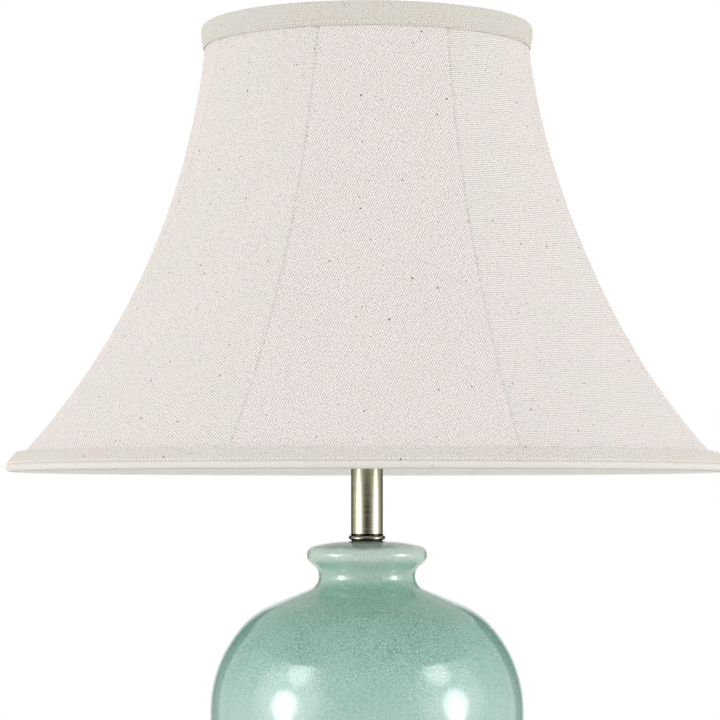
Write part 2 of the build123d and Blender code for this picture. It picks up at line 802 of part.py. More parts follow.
save("felt_pad", tube(base_r - slip, 0, 0, felt_t))
save("base_shell", base_shell())
save("base_weight", tube(weight_r, rod_hole_r, weight_z, weight_z + weight_t))
save("cord_bushing", cord_bushing())
save("lock_washer", tube(lock_washer_r, rod_r + slip, weight_z - lock_washer_t, weight_z))
save("lower_nut", hex_nut(nut_flats, rod_r + slip, lower_nut_z, lower_nut_z + lower_nut_t))
save("jar_gasket", tube(foot_r, foot_r - foot_ring_w, base_h, jar_z))
save("jar", jar())
save("seat_washer", tube(seat_washer_r, rod_hole_r, jar_top, check_z))
save("check_ring", turned_cap(check_r, check_z, pole_z, True))
save("threaded_rod", tube(rod_r, rod_bore_r, rod_z, rod_top))
save("pole_tube", tube(pole_r, pole_r - pole_wall, pole_z, pole_top))
save("pole_cap", turned_cap(pole_cap_r, pole_top, saddle_z, False))
save("harp_saddle", harp_saddle())
save("saddle_nut", hex_nut(nut_flats, rod_r + slip, saddle_nut_z, cap_z))
save("harp_bow", harp_bow())
save("harp_ferrule_left", ferrule(-1))
save("harp_ferrule_right", ferrule(1))
save("harp_stud", harp_stud())
save("finial_insert", finial_insert())
save("finial_knob", finial_knob())
save("socket_cap", socket_cap())
save("set_screw", set_screw_at(set_screw_r))
cap_liner_r = cap_r - sheet_t - slip
save("cap_liner", tube(cap_liner_r, cap_liner_r - liner_t, skirt_z, shell_z))
save("socket_shell", socket_shell())
save("shell_liner", shell_liner())
save("socket_body", socket_body())
save("screw_shell", screw_shell())
save("centre_contact", tube(contact_r, 0, contact_z, contact_z + contact_t))
save("terminal_screws", *terminal_screws())
save("switch_shaft", switch_shaft())
save("switch_knob", switch_knob())
save("bulb_tip", tube(bulb_tip_r, 0, bulb_z, bulb_z + bulb_tip_t))
save("bulb_insulator", bulb_insulator())
save("bulb_cap", bulb_cap())
save("bulb_glass", bulb_form(0) - bulb_form(glass_t))
save("bulb_stem", tube(stem_r, 0, glass_z + glass_t, stem_top))
save("bulb_filament", bulb_filament())

arm_wires = [spider_arm(index) for index in range(arm_count)]
rib_wires = [rib(index) for index in range(panel_count)]
save("spider_washer", tube(washer_r, stud_thread_r + body_gap, washer_z, washer_z + washer_t))
save("spider_arms", *arm_wires)
save("top_ring", wire_ring(top_ring_r, top_wire_r, top_ring_z))
save("bottom_ring", wire_ring(bottom_ring_r, bottom_wire_r, bottom_ring_z))
save("rib_wires", *rib_wires)
for index in range(panel_count):
    save(f"shade_panel_{index + 1}", gore(index, 0, cloth_t, cloth_low_z, cloth_top_z))
lining_in = cloth_t + rib_gap + 2 * rib_r + lining_gap
save(
    "shade_lining",
    *[gore(index, lining_in, lining_t, cloth_low_z, cloth_top_z) for index in range(panel_count)],
)
save("top_trim", top_trim(rib_wires, arm_wires))
save("bottom_trim", bottom_trim(rib_wires))
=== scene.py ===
import bpy
import json
import math
from mathutils import Matrix, Vector


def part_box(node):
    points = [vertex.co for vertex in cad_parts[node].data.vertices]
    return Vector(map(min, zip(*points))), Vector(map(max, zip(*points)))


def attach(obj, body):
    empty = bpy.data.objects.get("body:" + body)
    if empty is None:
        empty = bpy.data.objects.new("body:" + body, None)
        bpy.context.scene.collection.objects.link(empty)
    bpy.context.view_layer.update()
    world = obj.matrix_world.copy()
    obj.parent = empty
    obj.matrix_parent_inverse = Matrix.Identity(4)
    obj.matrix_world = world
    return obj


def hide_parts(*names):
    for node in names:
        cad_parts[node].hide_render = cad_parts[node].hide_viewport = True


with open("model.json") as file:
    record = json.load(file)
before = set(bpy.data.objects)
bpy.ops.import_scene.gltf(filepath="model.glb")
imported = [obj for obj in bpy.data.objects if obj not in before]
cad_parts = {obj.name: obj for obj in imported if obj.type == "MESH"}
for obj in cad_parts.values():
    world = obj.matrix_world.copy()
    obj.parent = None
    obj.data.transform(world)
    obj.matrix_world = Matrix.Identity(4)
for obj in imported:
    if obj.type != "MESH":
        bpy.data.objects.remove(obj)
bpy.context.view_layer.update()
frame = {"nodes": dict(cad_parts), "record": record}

mm = 0.001
weldGap = 0.002 * mm  # points nearer than this are one
world = bpy.context.scene.world or bpy.data.worlds.new("studio")
bpy.context.scene.world = world
bpy.context.scene.view_settings.view_transform = "Standard"


# small helpers

def hexColour(text):  # sRGB hex to linear
    parts = [int(text[i:i + 2], 16) / 255 for i in (1, 3, 5)]
    linear = [p / 12.92 if p <= 0.04045 else ((p + 0.055) / 1.055) ** 2.4 for p in parts]
    return (*linear, 1.0)


# a link is a node, a socket, a hex colour or a plain value
# MapRange goes from inputs 1 and 2 to 3 and 4, and Mix goes by 0 from colour 6 to 7, out at 2
def addNode(tree, kind, links=None, **settings):
    node = tree.nodes.new("ShaderNode" + kind)
    for key, value in settings.items():
        setattr(node, key, value)
    for key, value in (links or {}).items():
        if isinstance(value, bpy.types.Node):
            value = value.outputs[0]
        if isinstance(value, str):
            value = hexColour(value)
        if isinstance(value, bpy.types.NodeSocket):
            tree.links.new(value, node.inputs[key])
        else:
            node.inputs[key].default_value = value
    return node


def startMaterial(name, colour, roughness, metallic=0.0, **sockets):
    material = bpy.data.materials.new(name)
    material.use_nodes = True
    shader = material.node_tree.nodes["Principled BSDF"]
    shader.inputs["Base Color"].default_value = hexColour(colour)
    shader.inputs["Roughness"].default_value = roughness
    shader.inputs["Metallic"].default_value = metallic
    for key, value in sockets.items():
        shader.inputs[key.replace("_", " ")].default_value = value
    return material, material.node_tree, shader


def selectOnly(*pieces):  # or nothing at all
    bpy.ops.object.select_all(action="DESELECT")
    for piece in pieces:
        piece.select_set(True)
    if pieces:
        bpy.context.view_layer.objects.active = pieces[0]


def joinPieces(pieces):
    selectOnly(*pieces)
    bpy.ops.object.join()
    return bpy.context.object


def linkShader(tree, shader, **sockets):
    for key, value in sockets.items():
        source = value.outputs[0] if isinstance(value, bpy.types.Node) else value
        tree.links.new(source, shader.inputs[key.replace("_", " ")])


def finishPiece(piece, name, body, material, angle=35):
    piece.name = name
    piece.data.name = name
    piece.data.materials.clear()
    piece.data.materials.append(material)
    selectOnly(piece)
    bpy.ops.object.shade_smooth_by_angle(angle=math.radians(angle))
    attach(piece, body)
    return piece


def applyModifier(piece, kind, **settings):
    modifier = piece.modifiers.new(kind.title(), kind)
    for key, value in settings.items():
        setattr(modifier, key, value)
    bpy.context.view_layer.objects.active = piece
    bpy.ops.object.modifier_apply(modifier=modifier.name)


def arcPoints(centre, radius, startDeg, endDeg, stepDeg=6.0):  # along an arc, in a (radius, height) drawing
    steps = max(2, math.ceil(abs(endDeg - startDeg) / stepDeg))
    turns = [math.radians(startDeg + (endDeg - startDeg) * i / steps) for i in range(steps + 1)]
    return [(centre[0] + radius * math.cos(t), centre[1] + radius * math.sin(t)) for t in turns]


def turnOutline(outline, steps=128, closed=False):  # one vertex, extruded along the outline and spun about Z
    selectOnly()
    start = (outline[0][0] * mm, 0, outline[0][1] * mm)
    bpy.ops.mesh.primitive_plane_add(size=mm, location=start)
    bpy.ops.object.transform_apply(location=True, rotation=True, scale=True)
    piece = bpy.context.object
    bpy.ops.object.mode_set(mode="EDIT")
    bpy.ops.mesh.select_all(action="SELECT")
    bpy.ops.mesh.merge(type="CENTER")
    path = outline + [outline[0]] if closed else outline
    for (r0, z0), (r1, z1) in zip(path, path[1:]):
        step = ((r1 - r0) * mm, 0, (z1 - z0) * mm)
        bpy.ops.mesh.extrude_region_move(TRANSFORM_OT_translate={"value": step})
    bpy.ops.mesh.select_all(action="SELECT")
    bpy.ops.mesh.remove_doubles(threshold=weldGap)
    bpy.ops.mesh.select_all(action="SELECT")
    bpy.ops.mesh.spin(steps=steps, angle=2 * math.pi, center=(0, 0, 0), axis=(0, 0, 1))
    bpy.ops.mesh.select_all(action="SELECT")
    bpy.ops.mesh.remove_doubles(threshold=weldGap)
    bpy.ops.mesh.select_all(action="SELECT")
    bpy.ops.mesh.normals_make_consistent(inside=False)
    bpy.ops.object.mode_set(mode="OBJECT")
    return piece


def wrapUv(piece, name, radius):  # round the piece in mm, and up it in mm
    layer = piece.data.uv_layers.new(name=name)
    points = piece.data.vertices
    for face in piece.data.polygons:
        first = None
        for loop, index in zip(face.loop_indices, face.vertices):
            turn = math.atan2(points[index].co.y, points[index].co.x)
            if first is None:
                first = turn
            if turn - first > math.pi:
                turn -= 2 * math.pi
            if first - turn > math.pi:
                turn += 2 * math.pi
            layer.data[loop].uv = (turn * radius, points[index].co.z / mm)


# camera, lights and backdrop

studio = {
    "cameraAway": 1.86,
    "cameraSide": -0.0044,
    "cameraHeight": 0.325,
    "cameraUpDeg": 2.75,
    "lens": 147.2,
    "aim": (0.0, 0.0, 0.30),
    "floorSize": 1.5,
    "floorLow": -0.0002,  # just clear of the felt
    "floorFade": (0.25, 0.95),  # metres from the lamp, from paper to plain white
    "worldLevel": 0.9,
    "overhead": (0.35, 0.8, 0.75),  # from and to how high, and the level there
    "room": (  # how bright the room looks in a reflection, from the camera's side round to the sweep behind
        (0.0, 0.1), (0.02, 0.11), (0.08, 0.36), (0.12, 0.42), (0.25, 0.45), (0.5, 0.58), (0.8, 0.7),
        (0.865, 0.8), (0.875, 0.04), (0.955, 0.04), (0.985, 1.0),
    ),
}
softboxes = [  # azimuth from the camera, degrees; heights and sizes in metres; watts
    {"name": "fillLeft", "azimuth": -64, "height": 0.7, "away": 1.6, "size": (0.9, 0.9), "power": 4.7},
    {"name": "fillRight", "azimuth": 64, "height": 0.7, "away": 1.6, "size": (0.9, 0.9), "power": 4.6},
]
# round soft lights that only show as reflections: azimuth, elevation, inner and outer half angle, level
umbrellas = [
    (-63, 7, 0.5, 14.5, 9.0),
    (68, 7, 0.5, 14.5, 9.0),
    (-63, -4, 0.5, 11.0, 4.0),
    (68, -4, 0.5, 11.0, 4.0),
    (-62, 14, 2.0, 37.0, 2.8),
    (67, 14, 2.0, 37.0, 2.2),
    (-66, 10, 10.0, 64.0, 0.7),
    (68, 10, 10.0, 64.0, 0.45),
    (-57, 32, 1.0, 13.0, 4.2),
    (60, 32, 1.0, 13.0, 4.2),
]


def addCamera():
    place = (studio["cameraSide"], -studio["cameraAway"], studio["cameraHeight"])
    bpy.ops.object.camera_add(location=place, rotation=(math.radians(90 + studio["cameraUpDeg"]), 0, 0))
    camera = bpy.context.object
    camera.name = "camera"
    camera.data.lens = studio["lens"]
    camera.data.clip_start = 0.05
    camera.data.clip_end = 50
    bpy.context.scene.camera = camera


def addSoftboxes():
    for box in softboxes:
        turn = math.radians(box["azimuth"])
        place = Vector((math.sin(turn) * box["away"], -math.cos(turn) * box["away"], box["height"]))
        bpy.ops.object.light_add(type="AREA", location=place)
        lamp = bpy.context.object
        lamp.name = box["name"]
        lamp.data.shape = "RECTANGLE"
        lamp.data.size, lamp.data.size_y = box["size"]
        lamp.data.energy = box["power"]
        target = Vector((0, 0, min(box["height"], studio["aim"][2])))
        lamp.rotation_euler = (target - place).to_track_quat("-Z", "Y").to_euler()
        lamp.visible_camera = False
        lamp.visible_glossy = False


def dressWorld():
    world.use_nodes = True
    tree = world.node_tree
    tree.nodes.clear()
    rays = addNode(tree, "LightPath")
    seen = addNode(tree, "Math", {0: rays.outputs["Is Camera Ray"], 1: rays.outputs["Is Transmission Ray"]},
                   operation="MAXIMUM")
    place = addNode(tree, "TexCoord")
    split = addNode(tree, "SeparateXYZ", {0: place.outputs["Generated"]})
    back = addNode(tree, "MapRange", {0: split.outputs["Y"], 1: -1.0, 2: 1.0, 3: 0.0, 4: 1.0})
    sweep = addNode(tree, "ValToRGB", {0: back})  # white sweep behind, dim room elsewhere
    stops = sweep.color_ramp.elements
    stops[0].position, stops[0].color = 0.0, (studio["room"][0][1],) * 3 + (1,)
    stops[1].position, stops[1].color = 1.0, (1, 1, 1, 1)
    for spot, level in studio["room"][1:]:
        stops.new(spot).color = (level, level, level, 1)
    low, high, level = studio["overhead"]
    up = addNode(tree, "MapRange", {0: split.outputs["Z"], 1: low, 2: high, 3: 0.0, 4: 1.0})
    overhead = addNode(tree, "Mix", {0: up, 6: sweep, 7: (level, level, level, 1)}, data_type="RGBA")
    glow = overhead.outputs[2]
    for azimuth, elevation, inner, outer, level in umbrellas:
        turn, lift = math.radians(azimuth), math.radians(elevation)
        aim = (math.sin(turn) * math.cos(lift), -math.cos(turn) * math.cos(lift), math.sin(lift))
        near = addNode(tree, "VectorMath", {0: place.outputs["Generated"], 1: aim}, operation="DOT_PRODUCT")
        soft = addNode(tree, "MapRange", {0: near.outputs["Value"], 1: math.cos(math.radians(outer)),
                        2: math.cos(math.radians(inner)), 3: 0.0, 4: level},
                       interpolation_type="SMOOTHERSTEP")
        glow = addNode(tree, "VectorMath", {0: glow, 1: soft}, operation="ADD").outputs[0]
    level = studio["worldLevel"]
    lit = addNode(tree, "Mix",
                  {0: rays.outputs["Is Glossy Ray"], 6: (level, level, level, 1), 7: glow}, data_type="RGBA")
    colour = addNode(tree, "Mix", {0: seen, 6: lit.outputs[2], 7: (1, 1, 1, 1)}, data_type="RGBA")
    glowing = addNode(tree, "Background", {"Color": colour.outputs[2], "Strength": 1.0})
    addNode(tree, "OutputWorld", {"Surface": glowing})


def addFloor():
    selectOnly()
    bpy.ops.mesh.primitive_circle_add(vertices=96, radius=studio["floorSize"], fill_type="NGON",
                                      location=(0, 0, studio["floorLow"]))
    floor = bpy.context.object
    floor.name = "floor"
    material, tree, shader = startMaterial("paperSweep", "#F1F0ED", 0.8)  # matt paper, pale and even
    place = addNode(tree, "TexCoord")
    reach = addNode(tree, "VectorMath", {0: place.outputs["Object"]}, operation="LENGTH")
    near, far = studio["floorFade"]
    fade = addNode(tree, "MapRange", {0: reach.outputs["Value"], 1: near, 2: far, 3: 0.0, 4: 1.0},
                   interpolation_type="SMOOTHERSTEP")
    rays = addNode(tree, "LightPath")
    seen = addNode(tree, "Math", {0: fade, 1: rays.outputs["Is Camera Ray"]}, operation="MULTIPLY")
    white = addNode(tree, "Emission", {"Color": (1, 1, 1, 1), "Strength": 1.0})
    blend = addNode(tree, "MixShader", {0: seen, 1: shader, 2: white})
    tree.links.new(blend.outputs[0], tree.nodes["Material Output"].inputs["Surface"])
    floor.data.materials.append(material)


addCamera()
addSoftboxes()
dressWorld()
addFloor()
print("studio is set")


# linen shade

shade = {  # mm, where no other unit is named
    "gores": 8,
    "firstSeamDeg": -63.7,  # from the front towards +X
    "clothTopIn": 0.8,
    "clothLowOut": 0.5,
    "bow": 20.0,  # how far a rib bows in from its chord
    "flatShare": 0.55,  # how much flatter a gore is between its rings
    "flatSpread": 0.8,
    "columns": 44,
    "rows": 110,
    "liningColumns": 20,
    "liningRows": 60,
    "crowd": 2.2,  # how far the columns crowd towards the seams
    "seamDip": 0.75,
    "seamWidth": 1.5,
    "cloth": 0.9,
    "liningIn": 3.7,
    "liningCloth": 0.5,
    "liningWeld": 0.02,
    "twistLow": -2.7,  # degrees, the frame was welded with a slight twist
    "twistTop": 2.1,
    "weaveTurns": (-55, 25, 87, -38, 52, 18, -64, 40),  # degrees, the way each gore was cut
    "weaveShift": 37.0,  # along the bolt from gore to gore
}
topRingLow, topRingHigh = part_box("top_ring")
lowRingLow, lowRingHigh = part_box("bottom_ring")
topRingZ = (topRingLow.z + topRingHigh.z) / 2 / mm
lowRingZ = (lowRingLow.z + lowRingHigh.z) / 2 / mm
topRingR = topRingHigh.x / mm - (topRingHigh.z - topRingLow.z) / 2 / mm
lowRingR = lowRingHigh.x / mm - (lowRingHigh.z - lowRingLow.z) / 2 / mm
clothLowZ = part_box("shade_panel_1")[0].z / mm
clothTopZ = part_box("shade_panel_1")[1].z / mm
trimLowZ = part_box("top_trim")[0].z / mm
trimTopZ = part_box("bottom_trim")[1].z / mm
lineTop = topRingR - shade["clothTopIn"]
lineLow = lowRingR + shade["clothLowOut"]
lineRise = topRingZ - lowRingZ
lineChord = math.hypot(lineLow - lineTop, lineRise)
bowR = (lineChord ** 2 / 4 + shade["bow"] ** 2) / (2 * shade["bow"])
bowC = (
    (lineTop + lineLow) / 2 + (bowR - shade["bow"]) * lineRise / lineChord,
    (topRingZ + lowRingZ) / 2 + (bowR - shade["bow"]) * (lineLow - lineTop) / lineChord,
)


def ribLine(z, inward=0.0):  # radius of the cloth over a rib
    return bowC[0] - math.sqrt((bowR + inward) ** 2 - (z - bowC[1]) ** 2)


def ribLength(z):  # along the rib, from the bottom ring
    return bowR * (math.asin((bowC[1] - lowRingZ) / bowR) - math.asin((bowC[1] - z) / bowR))


def roundness(z):  # 1 where a gore is as round as the rings
    share = (z - trimTopZ) / (trimLowZ - trimTopZ)
    if share <= 0 or share >= 1:
        return 1.0
    return 1 - shade["flatShare"] * math.sin(math.pi * share) ** shade["flatSpread"]


def goreTurn(index):  # to the gore's middle
    return math.radians(shade["firstSeamDeg"] - 90 + (index + 0.5) * 360 / shade["gores"])


def cutGore(inward, columns, rows, dip):  # a grid of cloth laid over the middle of +X between two ribs
    selectOnly()
    bpy.ops.mesh.primitive_grid_add(x_subdivisions=columns, y_subdivisions=rows, size=2)
    piece = bpy.context.object
    half = math.pi / shade["gores"]
    weave = piece.data.uv_layers[0]
    weave.name = "weave"
    seam = piece.data.uv_layers.new(name="seam")
    flat = []
    for point in piece.data.vertices:
        across = abs(point.co.x)
        share = math.copysign(1 - (1 - across) ** shade["crowd"], point.co.x)
        z = clothLowZ + (point.co.y + 1) / 2 * (clothTopZ - clothLowZ)
        outer = ribLine(z, inward)
        swell = outer * (1 - math.cos(half)) * roundness(z)
        chord = outer * math.sin(half)
        arcR = (chord ** 2 + swell ** 2) / (2 * swell)
        turn = math.asin(chord / arcR) * share
        middle = outer * math.cos(half) + swell - arcR
        edge = chord * (1 - abs(share))
        sink = dip * math.exp(-(edge / shade["seamWidth"]) ** 2)
        out, aside = middle + arcR * math.cos(turn) - sink, arcR * math.sin(turn)
        twist = shade["twistLow"] + (shade["twistTop"] - shade["twistLow"]) * (point.co.y + 1) / 2
        point.co = (Matrix.Rotation(math.radians(twist), 3, "Z") @ Vector((out, aside, z))) * mm
        flat.append((arcR * turn, ribLength(z), edge))
    for face in piece.data.polygons:
        for loop, index in zip(face.loop_indices, face.vertices):
            weave.data[loop].uv = flat[index][:2]
            seam.data[loop].uv = (flat[index][2], flat[index][1])
    return piece


def turnWeave(piece, degrees, shift):
    turn = math.radians(degrees)
    for corner in piece.data.uv_layers["weave"].data:
        u, v = corner.uv
        corner.uv = (u * math.cos(turn) - v * math.sin(turn) + shift,
                     u * math.sin(turn) + v * math.cos(turn) + shift)


def copyTurned(piece, turn):
    twin = piece.copy()
    twin.data = piece.data.copy()
    bpy.context.scene.collection.objects.link(twin)
    selectOnly(twin)
    twin.rotation_euler = (0, 0, turn)
    bpy.ops.object.transform_apply(location=False, rotation=True, scale=False)
    return twin


def linenCloth(name, colour, settings):  # slubby plain-weave linen: matt, with flecks of stem in the yarn
    material, tree, shader = startMaterial(name, colour, 0.9, Sheen_Weight=0.15, Sheen_Roughness=0.5,
                                           Specular_IOR_Level=0.2)
    shader.inputs["Sheen Tint"].default_value = hexColour(settings["sheen"])
    cloth = addNode(tree, "UVMap", uv_map="weave").outputs[0]
    # threads that wander a little
    wander = addNode(tree, "TexNoise",
                     {"Vector": cloth, "Scale": 1 / settings["wanderSize"], "Detail": 4.0, "Roughness": 0.6},
                     noise_dimensions="2D")
    shift = addNode(tree, "VectorMath", {0: wander.outputs["Color"], 1: (settings["wander"],) * 3, 2: cloth},
                    operation="MULTIPLY_ADD")
    split = addNode(tree, "SeparateXYZ", {0: shift})
    waves = []
    # both ways of the weave, drawn coarser than life so that it shows
    for axis, thread in (("X", settings["warp"]), ("Y", settings["weft"])):
        phase = addNode(tree, "Math", {0: split.outputs[axis], 1: math.pi / thread}, operation="MULTIPLY")
        waves.append(addNode(tree, "Math", {0: phase}, operation="COSINE").outputs[0])
    # warp and weft take turns on top
    over = addNode(tree, "Math", {0: waves[0], 1: waves[1]}, operation="MULTIPLY")
    turnOver = addNode(tree, "MapRange", {0: over, 1: -0.35, 2: 0.35, 3: 0.0, 4: 1.0})
    warp = addNode(tree, "Math", {0: waves[0]}, operation="ABSOLUTE")
    weft = addNode(tree, "Math", {0: waves[1]}, operation="ABSOLUTE")
    weft = addNode(tree, "MapRange", {0: weft, 1: 0.0, 2: 1.0, 3: settings["weftLift"], 4: 1.0})
    weft = addNode(tree, "Math", {0: warp, 1: weft}, operation="MULTIPLY")
    height = addNode(tree, "Mix", {0: turnOver, 2: warp, 3: weft}, data_type="FLOAT").outputs[0]
    # slubs, and yarn of uneven thickness, with a painted highlight on its crowns and painted shade between
    slub = addNode(tree, "TexNoise",
                   {"Vector": cloth, "Scale": 1 / settings["slubSize"], "Detail": 4.0, "Roughness": 0.7},
                   noise_dimensions="2D")
    depth = addNode(tree, "MapRange", {0: slub, 1: 0.36, 2: 0.6, 3: 0.6, 4: 1.05})
    yarn = addNode(tree, "TexNoise",
                   {"Vector": cloth, "Scale": 1 / settings["yarnSize"], "Detail": 1.0}, noise_dimensions="2D")
    yarn = addNode(tree, "MapRange",
                   {0: yarn, 1: 0.25, 2: 0.75, 3: settings["uneven"], 4: -settings["uneven"]})
    uneven = addNode(tree, "Math", {0: settings["level"], 1: yarn}, operation="ADD")
    gap = addNode(tree, "Math", {0: uneven, 1: height}, operation="SUBTRACT")
    gapShade = addNode(tree, "Math", {0: gap, 1: depth}, operation="MULTIPLY")
    gapDark = addNode(tree, "Math",
                      {0: gapShade, 1: settings["weaveShade"]}, operation="MULTIPLY", use_clamp=True)
    gapLight = addNode(tree, "Math",
                       {0: gapShade, 1: -settings["weaveLight"]}, operation="MULTIPLY", use_clamp=True)
    patch = addNode(tree, "TexNoise", {"Vector": cloth, "Scale": 1 / settings["patchSize"], "Detail": 3.0},
                    noise_dimensions="2D")
    patches = addNode(tree, "ValToRGB", {0: patch})  # washed and aged unevenly
    stops = patches.color_ramp.elements
    stops[0].position, stops[0].color = 0.34, hexColour(settings["cool"])
    stops[1].position, stops[1].color = 0.66, hexColour(settings["rosy"])
    stops.new(0.5).color = hexColour(colour)
    # painted shade in the gaps between threads, then a painted highlight on their crowns
    shown = addNode(tree, "Mix", {0: gapDark, 6: patches, 7: settings["gap"]}, data_type="RGBA").outputs[2]
    shown = addNode(tree, "Mix", {0: gapLight, 6: shown, 7: settings["crown"]}, data_type="RGBA").outputs[2]
    for size, dot, share, darkness in settings["flecks"]:
        spots = addNode(tree, "TexVoronoi", {"Vector": cloth, "Scale": 1 / size}, voronoi_dimensions="2D")
        pick = addNode(tree, "SeparateColor", {0: spots.outputs["Color"]})
        reach = addNode(tree, "MapRange", {0: pick, 1: 1 - share, 2: 1.0, 3: 0.0, 4: dot / size})
        near = addNode(tree, "Math", {0: reach, 1: spots.outputs["Distance"]}, operation="SUBTRACT")
        soft = addNode(tree, "MapRange", {0: near, 1: 0.0, 2: 0.15 / size, 3: 0.0, 4: darkness})
        shown = addNode(tree, "Mix", {0: soft, 6: shown, 7: settings["fleck"]}, data_type="RGBA").outputs[2]
    if settings.get("roll"):  # painted light: the underside of the rolled edge is coloured paler
        low, high, share, pale = settings["roll"]
        up = addNode(tree, "SeparateXYZ", {0: addNode(tree, "TexCoord").outputs["Object"]})
        rollLight = addNode(tree, "MapRange", {0: up.outputs["Z"], 1: low * mm, 2: high * mm, 3: share, 4: 0.0},
                       interpolation_type="SMOOTHSTEP")
        shown = addNode(tree, "Mix", {0: rollLight, 6: shown, 7: pale}, data_type="RGBA").outputs[2]
    if settings.get("seams"):  # stitches every few millimetres along each seam, and painted shade in the seam's crease
        edge = addNode(tree, "UVMap", uv_map="seam").outputs[0]
        along = addNode(tree, "SeparateXYZ", {0: edge})
        close = addNode(tree, "MapRange",
                        {0: along.outputs["X"], 1: 0.2, 2: settings["seamReach"], 3: 1.0, 4: 0.0},
                        interpolation_type="SMOOTHSTEP")
        beat = addNode(tree, "Math",
                       {0: along.outputs["Y"], 1: 2 * math.pi / settings["stitch"]}, operation="MULTIPLY")
        beat = addNode(tree, "Math", {0: beat}, operation="SINE")
        dots = addNode(tree, "MapRange", {0: beat, 1: -0.3, 2: 0.8, 3: 0.3, 4: 1.0})
        uneven = addNode(tree, "TexNoise", {"Vector": edge, "Scale": 1 / settings["seamFadeSize"], "Detail": 2.0},
                         noise_dimensions="2D")
        fade = addNode(tree, "MapRange", {0: uneven, 1: 0.35, 2: 0.65, 3: 0.25, 4: 1.0})
        stitchesAndShade = addNode(tree, "Math", {0: close, 1: dots}, operation="MULTIPLY")
        stitchesAndShade = addNode(tree, "Math", {0: stitchesAndShade, 1: fade}, operation="MULTIPLY")
        dark = addNode(tree, "Math", {0: stitchesAndShade, 1: settings["seamShade"]}, operation="MULTIPLY")
        shown = addNode(tree, "Mix",
                        {0: dark, 6: shown, 7: settings["seamColour"]}, data_type="RGBA").outputs[2]
    bump = addNode(tree, "Bump", {"Height": height, "Strength": settings["bump"], "Distance": 0.3 * mm})
    linkShader(tree, shader, Base_Color=shown, Normal=bump)
    return material


shadeLinen = {
    "warp": 1.32,
    "weft": 1.44,
    "weftLift": 0.15,
    "wander": 1.2,
    "wanderSize": 7.692,  # mm from one uneven place to the next
    "slubSize": 3.333,
    "yarnSize": 0.9091,
    "patchSize": 45.45,
    "seamFadeSize": 2.857,
    "uneven": 0.32,
    "level": 0.62,
    "weaveShade": 1.2,
    "weaveLight": 2.5,
    "bump": 0.4,
    "cool": "#E9E1DD",
    "rosy": "#EDE1DE",
    # crown and gap: colours of the painted highlight on the thread crowns and the painted shade between them
    "crown": "#FFFCF7",
    "gap": "#8E827C",
    "flecks": ((16.0, 0.72, 0.6, 0.9), (8.0, 0.5, 0.4, 0.6)),  # cell, dot, share of cells, darkness
    "fleck": "#4E4038",
    "sheen": "#FFF6EC",
    "seams": True,
    # seams: how far from the seam in mm, how much, and the colour of the stitches and the painted shade in
    # the crease
    "seamReach": 1.5,
    "seamShade": 0.5,
    "seamColour": "#9C8D86",
    "stitch": 2.4,
}
linen = linenCloth("slubLinen", "#EBE2DF", shadeLinen)
plainerLinen = dict(shadeLinen, warp=1.22, weft=1.35, weaveShade=1.25, weaveLight=1.6, cool="#E9E6E0",
                    rosy="#EDE5E1")
# every other gore was cut across the bolt
linens = (linenCloth("slubLinenAcross", "#EBE4E0", plainerLinen), linen)


def makePanels():
    gore = cutGore(0.0, shade["columns"], shade["rows"], shade["seamDip"])
    applyModifier(gore, "SOLIDIFY", thickness=shade["cloth"] * mm, offset=-1, use_even_offset=True)
    for index in range(shade["gores"]):
        panel = copyTurned(gore, goreTurn(index))
        turnWeave(panel, shade["weaveTurns"][index], shade["weaveShift"] * index)
        finishPiece(panel, f"shadeGore{index + 1}", "shade", linens[index % 2], 60)
        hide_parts(f"shade_panel_{index + 1}")
    bpy.data.objects.remove(gore)


makePanels()
print("gores are sewn")


liningLook = {"colour": "#F8F7F4", "shadow": "#F0EEEA", "warp": 0.45}


def liningCloth():  # acetate lining: smooth, a faint sheen
    material, tree, shader = startMaterial("liningAcetate", liningLook["colour"], 0.6, Sheen_Weight=0.3)
    cloth = addNode(tree, "UVMap", uv_map="weave").outputs[0]
    threads = addNode(tree, "TexWave",
                      {"Vector": cloth, "Scale": math.pi / 10 / liningLook["warp"], "Distortion": 0.6},
                      bands_direction="X")
    tone = addNode(tree, "Mix", {0: threads.outputs[1], 6: liningLook["shadow"], 7: liningLook["colour"]},
                   data_type="RGBA")
    bump = addNode(tree, "Bump", {"Height": threads.outputs[1], "Strength": 0.15, "Distance": 0.1 * mm})
    linkShader(tree, shader, Base_Color=tone.outputs[2], Normal=bump)
    return material


def makeLining():
    gore = cutGore(shade["liningIn"], shade["liningColumns"], shade["liningRows"], 0.0)
    parts = [copyTurned(gore, goreTurn(index)) for index in range(shade["gores"])]
    bpy.data.objects.remove(gore)
    lining = joinPieces(parts)
    bpy.ops.object.mode_set(mode="EDIT")
    bpy.ops.mesh.select_all(action="SELECT")
    bpy.ops.mesh.remove_doubles(threshold=shade["liningWeld"] * mm)
    bpy.ops.object.mode_set(mode="OBJECT")
    applyModifier(lining, "SOLIDIFY", thickness=shade["liningCloth"] * mm, offset=-1)
    finishPiece(lining, "shadeLining", "shade", liningCloth(), 60)
    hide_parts("shade_lining")


makeLining()
print("lining is in")


